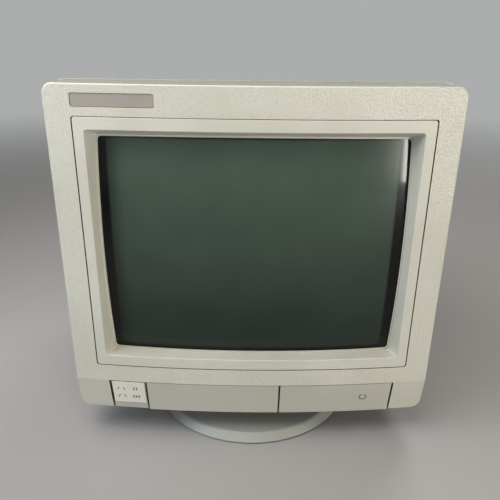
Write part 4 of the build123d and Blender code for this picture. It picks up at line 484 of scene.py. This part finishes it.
BLADE = (2.2, 12.1, 4.2)
BLADE_DROP = 3.9
low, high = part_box("power_inlet")
blade_end = high[1] - BLADE_DROP * MM
blades = bmesh.new()
for step in (-1, 0, 1):
    rise = -1.0 + 2.0 * (1 if step == 0 else -1)
    place = Matrix.Translation(((low[0] + high[0]) / 2 + step * 7 * MM, blade_end - BLADE[1] / 2 * MM,
                                (low[2] + high[2]) / 2 + rise * MM))
    made = bmesh.ops.create_cube(blades, size=1)["verts"]
    bmesh.ops.scale(blades, vec=[edge * MM for edge in BLADE], verts=made)
    bmesh.ops.transform(blades, matrix=place, verts=made)
bmesh.ops.bevel(blades, geom=blades.edges[:], offset=0.3 * MM, segments=2, affect="EDGES")
finish_piece("inlet_blades", blades, nickel, "head")

# %% [markdown]
# ## The button's return spring
# A coil of steel wire stands between the button and the wall behind it, and gets shorter when
# the button goes in. A stiff solid would push through that wall. The coil made again here is
# one piece of fixed length that stands in for the CAD spring, which is hidden. Spin takes a
# step along its axis as well as a turn, which draws a small circle of wire out into a helix.

# %% Return spring
WIRE_RADIUS = 0.5 * MM
SPRING_TURNS = 4
TURN_STEPS = 24
low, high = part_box("button_spring")
middle_x, middle_z = (low[0] + high[0]) / 2, (low[2] + high[2]) / 2
front, rear = low[1] + WIRE_RADIUS, high[1] - WIRE_RADIUS
coil_radius = (high[0] - low[0]) / 2 - WIRE_RADIUS
steps = SPRING_TURNS * TURN_STEPS
coil = bmesh.new()
wire = bmesh.ops.create_circle(coil, cap_ends=True, segments=8, radius=WIRE_RADIUS,
                               matrix=Matrix.Translation((coil_radius, 0, 0)) @ Matrix.Rotation(math.pi / 2, 4, "X"))
bmesh.ops.spin(coil, geom=[*coil.faces, *coil.edges, *coil.verts], cent=(0, 0, 0), axis=(0, 0, 1),
               dvec=(0, 0, (rear - front) / steps), angle=SPRING_TURNS * 2 * math.pi, steps=steps)
spring = finish_piece("return_spring_coil", coil, spring_steel, None,
                      Matrix.Translation((middle_x, front, middle_z)) @ Matrix.Rotation(-math.pi / 2, 4, "X"))
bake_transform(spring)
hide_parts("button_spring")

# %% [markdown]
# ## Light, floor and camera
# The photograph was taken indoors under soft light. A lamp high in front, to the left, is the
# key: it gives the bright top, the dark upper wall of the funnel and the fading towards the
# chin. A cool lamp at the left lights the wall that faces it, a weak warm one opens the right
# side, and a small window at the right is there to be mirrored as a strip in the glass and as
# a sheen on the case. One more lights the back for the views from behind.
#
# The world gives a weak glow from low down, and Light Path gives the camera, and what metal
# and glass mirror, a brighter backdrop that puts no light on the case. The floor is a plain
# pale plane, faded into that backdrop far away, and it keeps the shadow. The camera stands
# where the perspective of the photograph puts it.

# %% Lamps
def lamp(name, place, aim, width, height, watts, colour):
    """A rectangular area lamp that points at a place."""
    data = bpy.data.lights.new(name, "AREA")
    data.shape = "RECTANGLE"
    data.size = width
    data.size_y = height
    data.energy = watts
    data.color = linear(colour)[:3]
    made = bpy.data.objects.new(name, data)
    made.location = place
    made.rotation_euler = (Vector(aim) - Vector(place)).to_track_quat("-Z", "Y").to_euler()
    bpy.context.scene.collection.objects.link(made)


lamp("key_softbox", (-0.26, -0.36, 0.86), (0, -0.15, 0.2), 0.8, 0.5, 6.1, "#fff8ee")
lamp("left_softbox", (-0.76, -0.52, 0.60), (0, -0.15, 0.2), 0.6, 0.6, 3.8, "#d2e4ff")
lamp("side_softbox", (1.1, -0.4, 0.5), (0, -0.15, 0.2), 0.6, 0.6, 1.2, "#fff3e0")
lamp("window", (1.03, -1.445, 0.27), (0.12, -0.14, 0.29), 0.22, 0.40, 10.5, "#fffaf4")
lamp("rear_softbox", (0.8, 1.1, 1.9), (0, 0.1, 0.2), 0.9, 0.9, 18, "#ffffff")

# %% World
PALE = "#e9ecec"
BACKDROP_LEVEL = 0.5
REAR_GLOW = 0.3
FRONT_GLOW = 0.3
world = bpy.data.worlds.new("studio")
world.use_nodes = True
sky = world.node_tree
towards = add(sky, "ShaderNodeSeparateXYZ", Vector=add(sky, "ShaderNodeTexCoord").outputs["Generated"])
height = add(sky, "ShaderNodeMath", {"operation": "ABSOLUTE"}, _0=towards.outputs["Z"]).outputs[0]
band = range_of(sky, height, 0.32, 0.02)
ahead = range_of(sky, towards.outputs["Y"], 0.5, -0.5, REAR_GLOW, FRONT_GLOW)
glow = add(sky, "ShaderNodeMath", {"operation": "MULTIPLY"}, _0=band, _1=ahead).outputs[0]
path = add(sky, "ShaderNodeLightPath").outputs
seen = path["Is Camera Ray"]
for other in ("Is Glossy Ray", "Is Transmission Ray"):
    seen = add(sky, "ShaderNodeMath", {"operation": "MAXIMUM"}, _0=seen, _1=path[other]).outputs[0]
level = add(sky, "ShaderNodeMix", _0=seen, _2=glow, _3=BACKDROP_LEVEL).outputs[0]
sky.nodes["Background"].inputs["Color"].default_value = linear(PALE)
sky.links.new(level, sky.nodes["Background"].inputs["Strength"])
bpy.context.scene.world = world

# %% Floor
FLOOR_SIZE = 12
FADE_FROM = 0.7
FADE_TO = 2.6
floor_material, tree, shader, place = new_material("floor_pale_matt")
shader.inputs["Base Color"].default_value = linear("#aba9a7")
shader.inputs["Roughness"].default_value = 0.8
away = add(tree, "ShaderNodeVectorMath", {"operation": "LENGTH"}, _0=place).outputs["Value"]
far = range_of(tree, away, FADE_FROM, FADE_TO)
path = add(tree, "ShaderNodeLightPath").outputs
seen = path["Is Camera Ray"]
for other in ("Is Glossy Ray", "Is Transmission Ray"):
    seen = add(tree, "ShaderNodeMath", {"operation": "MAXIMUM"}, _0=seen, _1=path[other]).outputs[0]
seen_far = add(tree, "ShaderNodeMath", {"operation": "MULTIPLY"}, _0=far, _1=seen).outputs[0]
haze = add(tree, "ShaderNodeEmission", Color=linear(PALE), Strength=BACKDROP_LEVEL).outputs[0]
joined = add(tree, "ShaderNodeMixShader", _0=seen_far, _1=shader.outputs[0], _2=haze).outputs[0]
tree.links.new(joined, tree.nodes["Material Output"].inputs["Surface"])
floor_mesh = bmesh.new()
bmesh.ops.create_grid(floor_mesh, x_segments=1, y_segments=1, size=FLOOR_SIZE / 2)
floor_data = bpy.data.meshes.new("floor")
floor_mesh.to_mesh(floor_data)
floor_mesh.free()
floor_data.materials.append(floor_material)
floor = bpy.data.objects.new("floor", floor_data)
bpy.context.scene.collection.objects.link(floor)

# %% Camera
CAMERA_PLACE = (-0.0050, -0.5871, 0.3767)
CAMERA_TURN = (68.295, -0.633, -0.026)
SENSOR = 36.0
FOCAL_SHARE = 1.084
camera_data = bpy.data.cameras.new("photo_camera")
camera_data.sensor_width = SENSOR
camera_data.lens = SENSOR * FOCAL_SHARE
camera_data.clip_start = 0.01
camera = bpy.data.objects.new("photo_camera", camera_data)
camera.location = CAMERA_PLACE
camera.rotation_euler = Euler([math.radians(v) for v in CAMERA_TURN])
bpy.context.scene.collection.objects.link(camera)
bpy.context.scene.camera = camera
bpy.context.scene.view_settings.view_transform = "Standard"
print("camera lens:", round(camera_data.lens, 2), "mm")
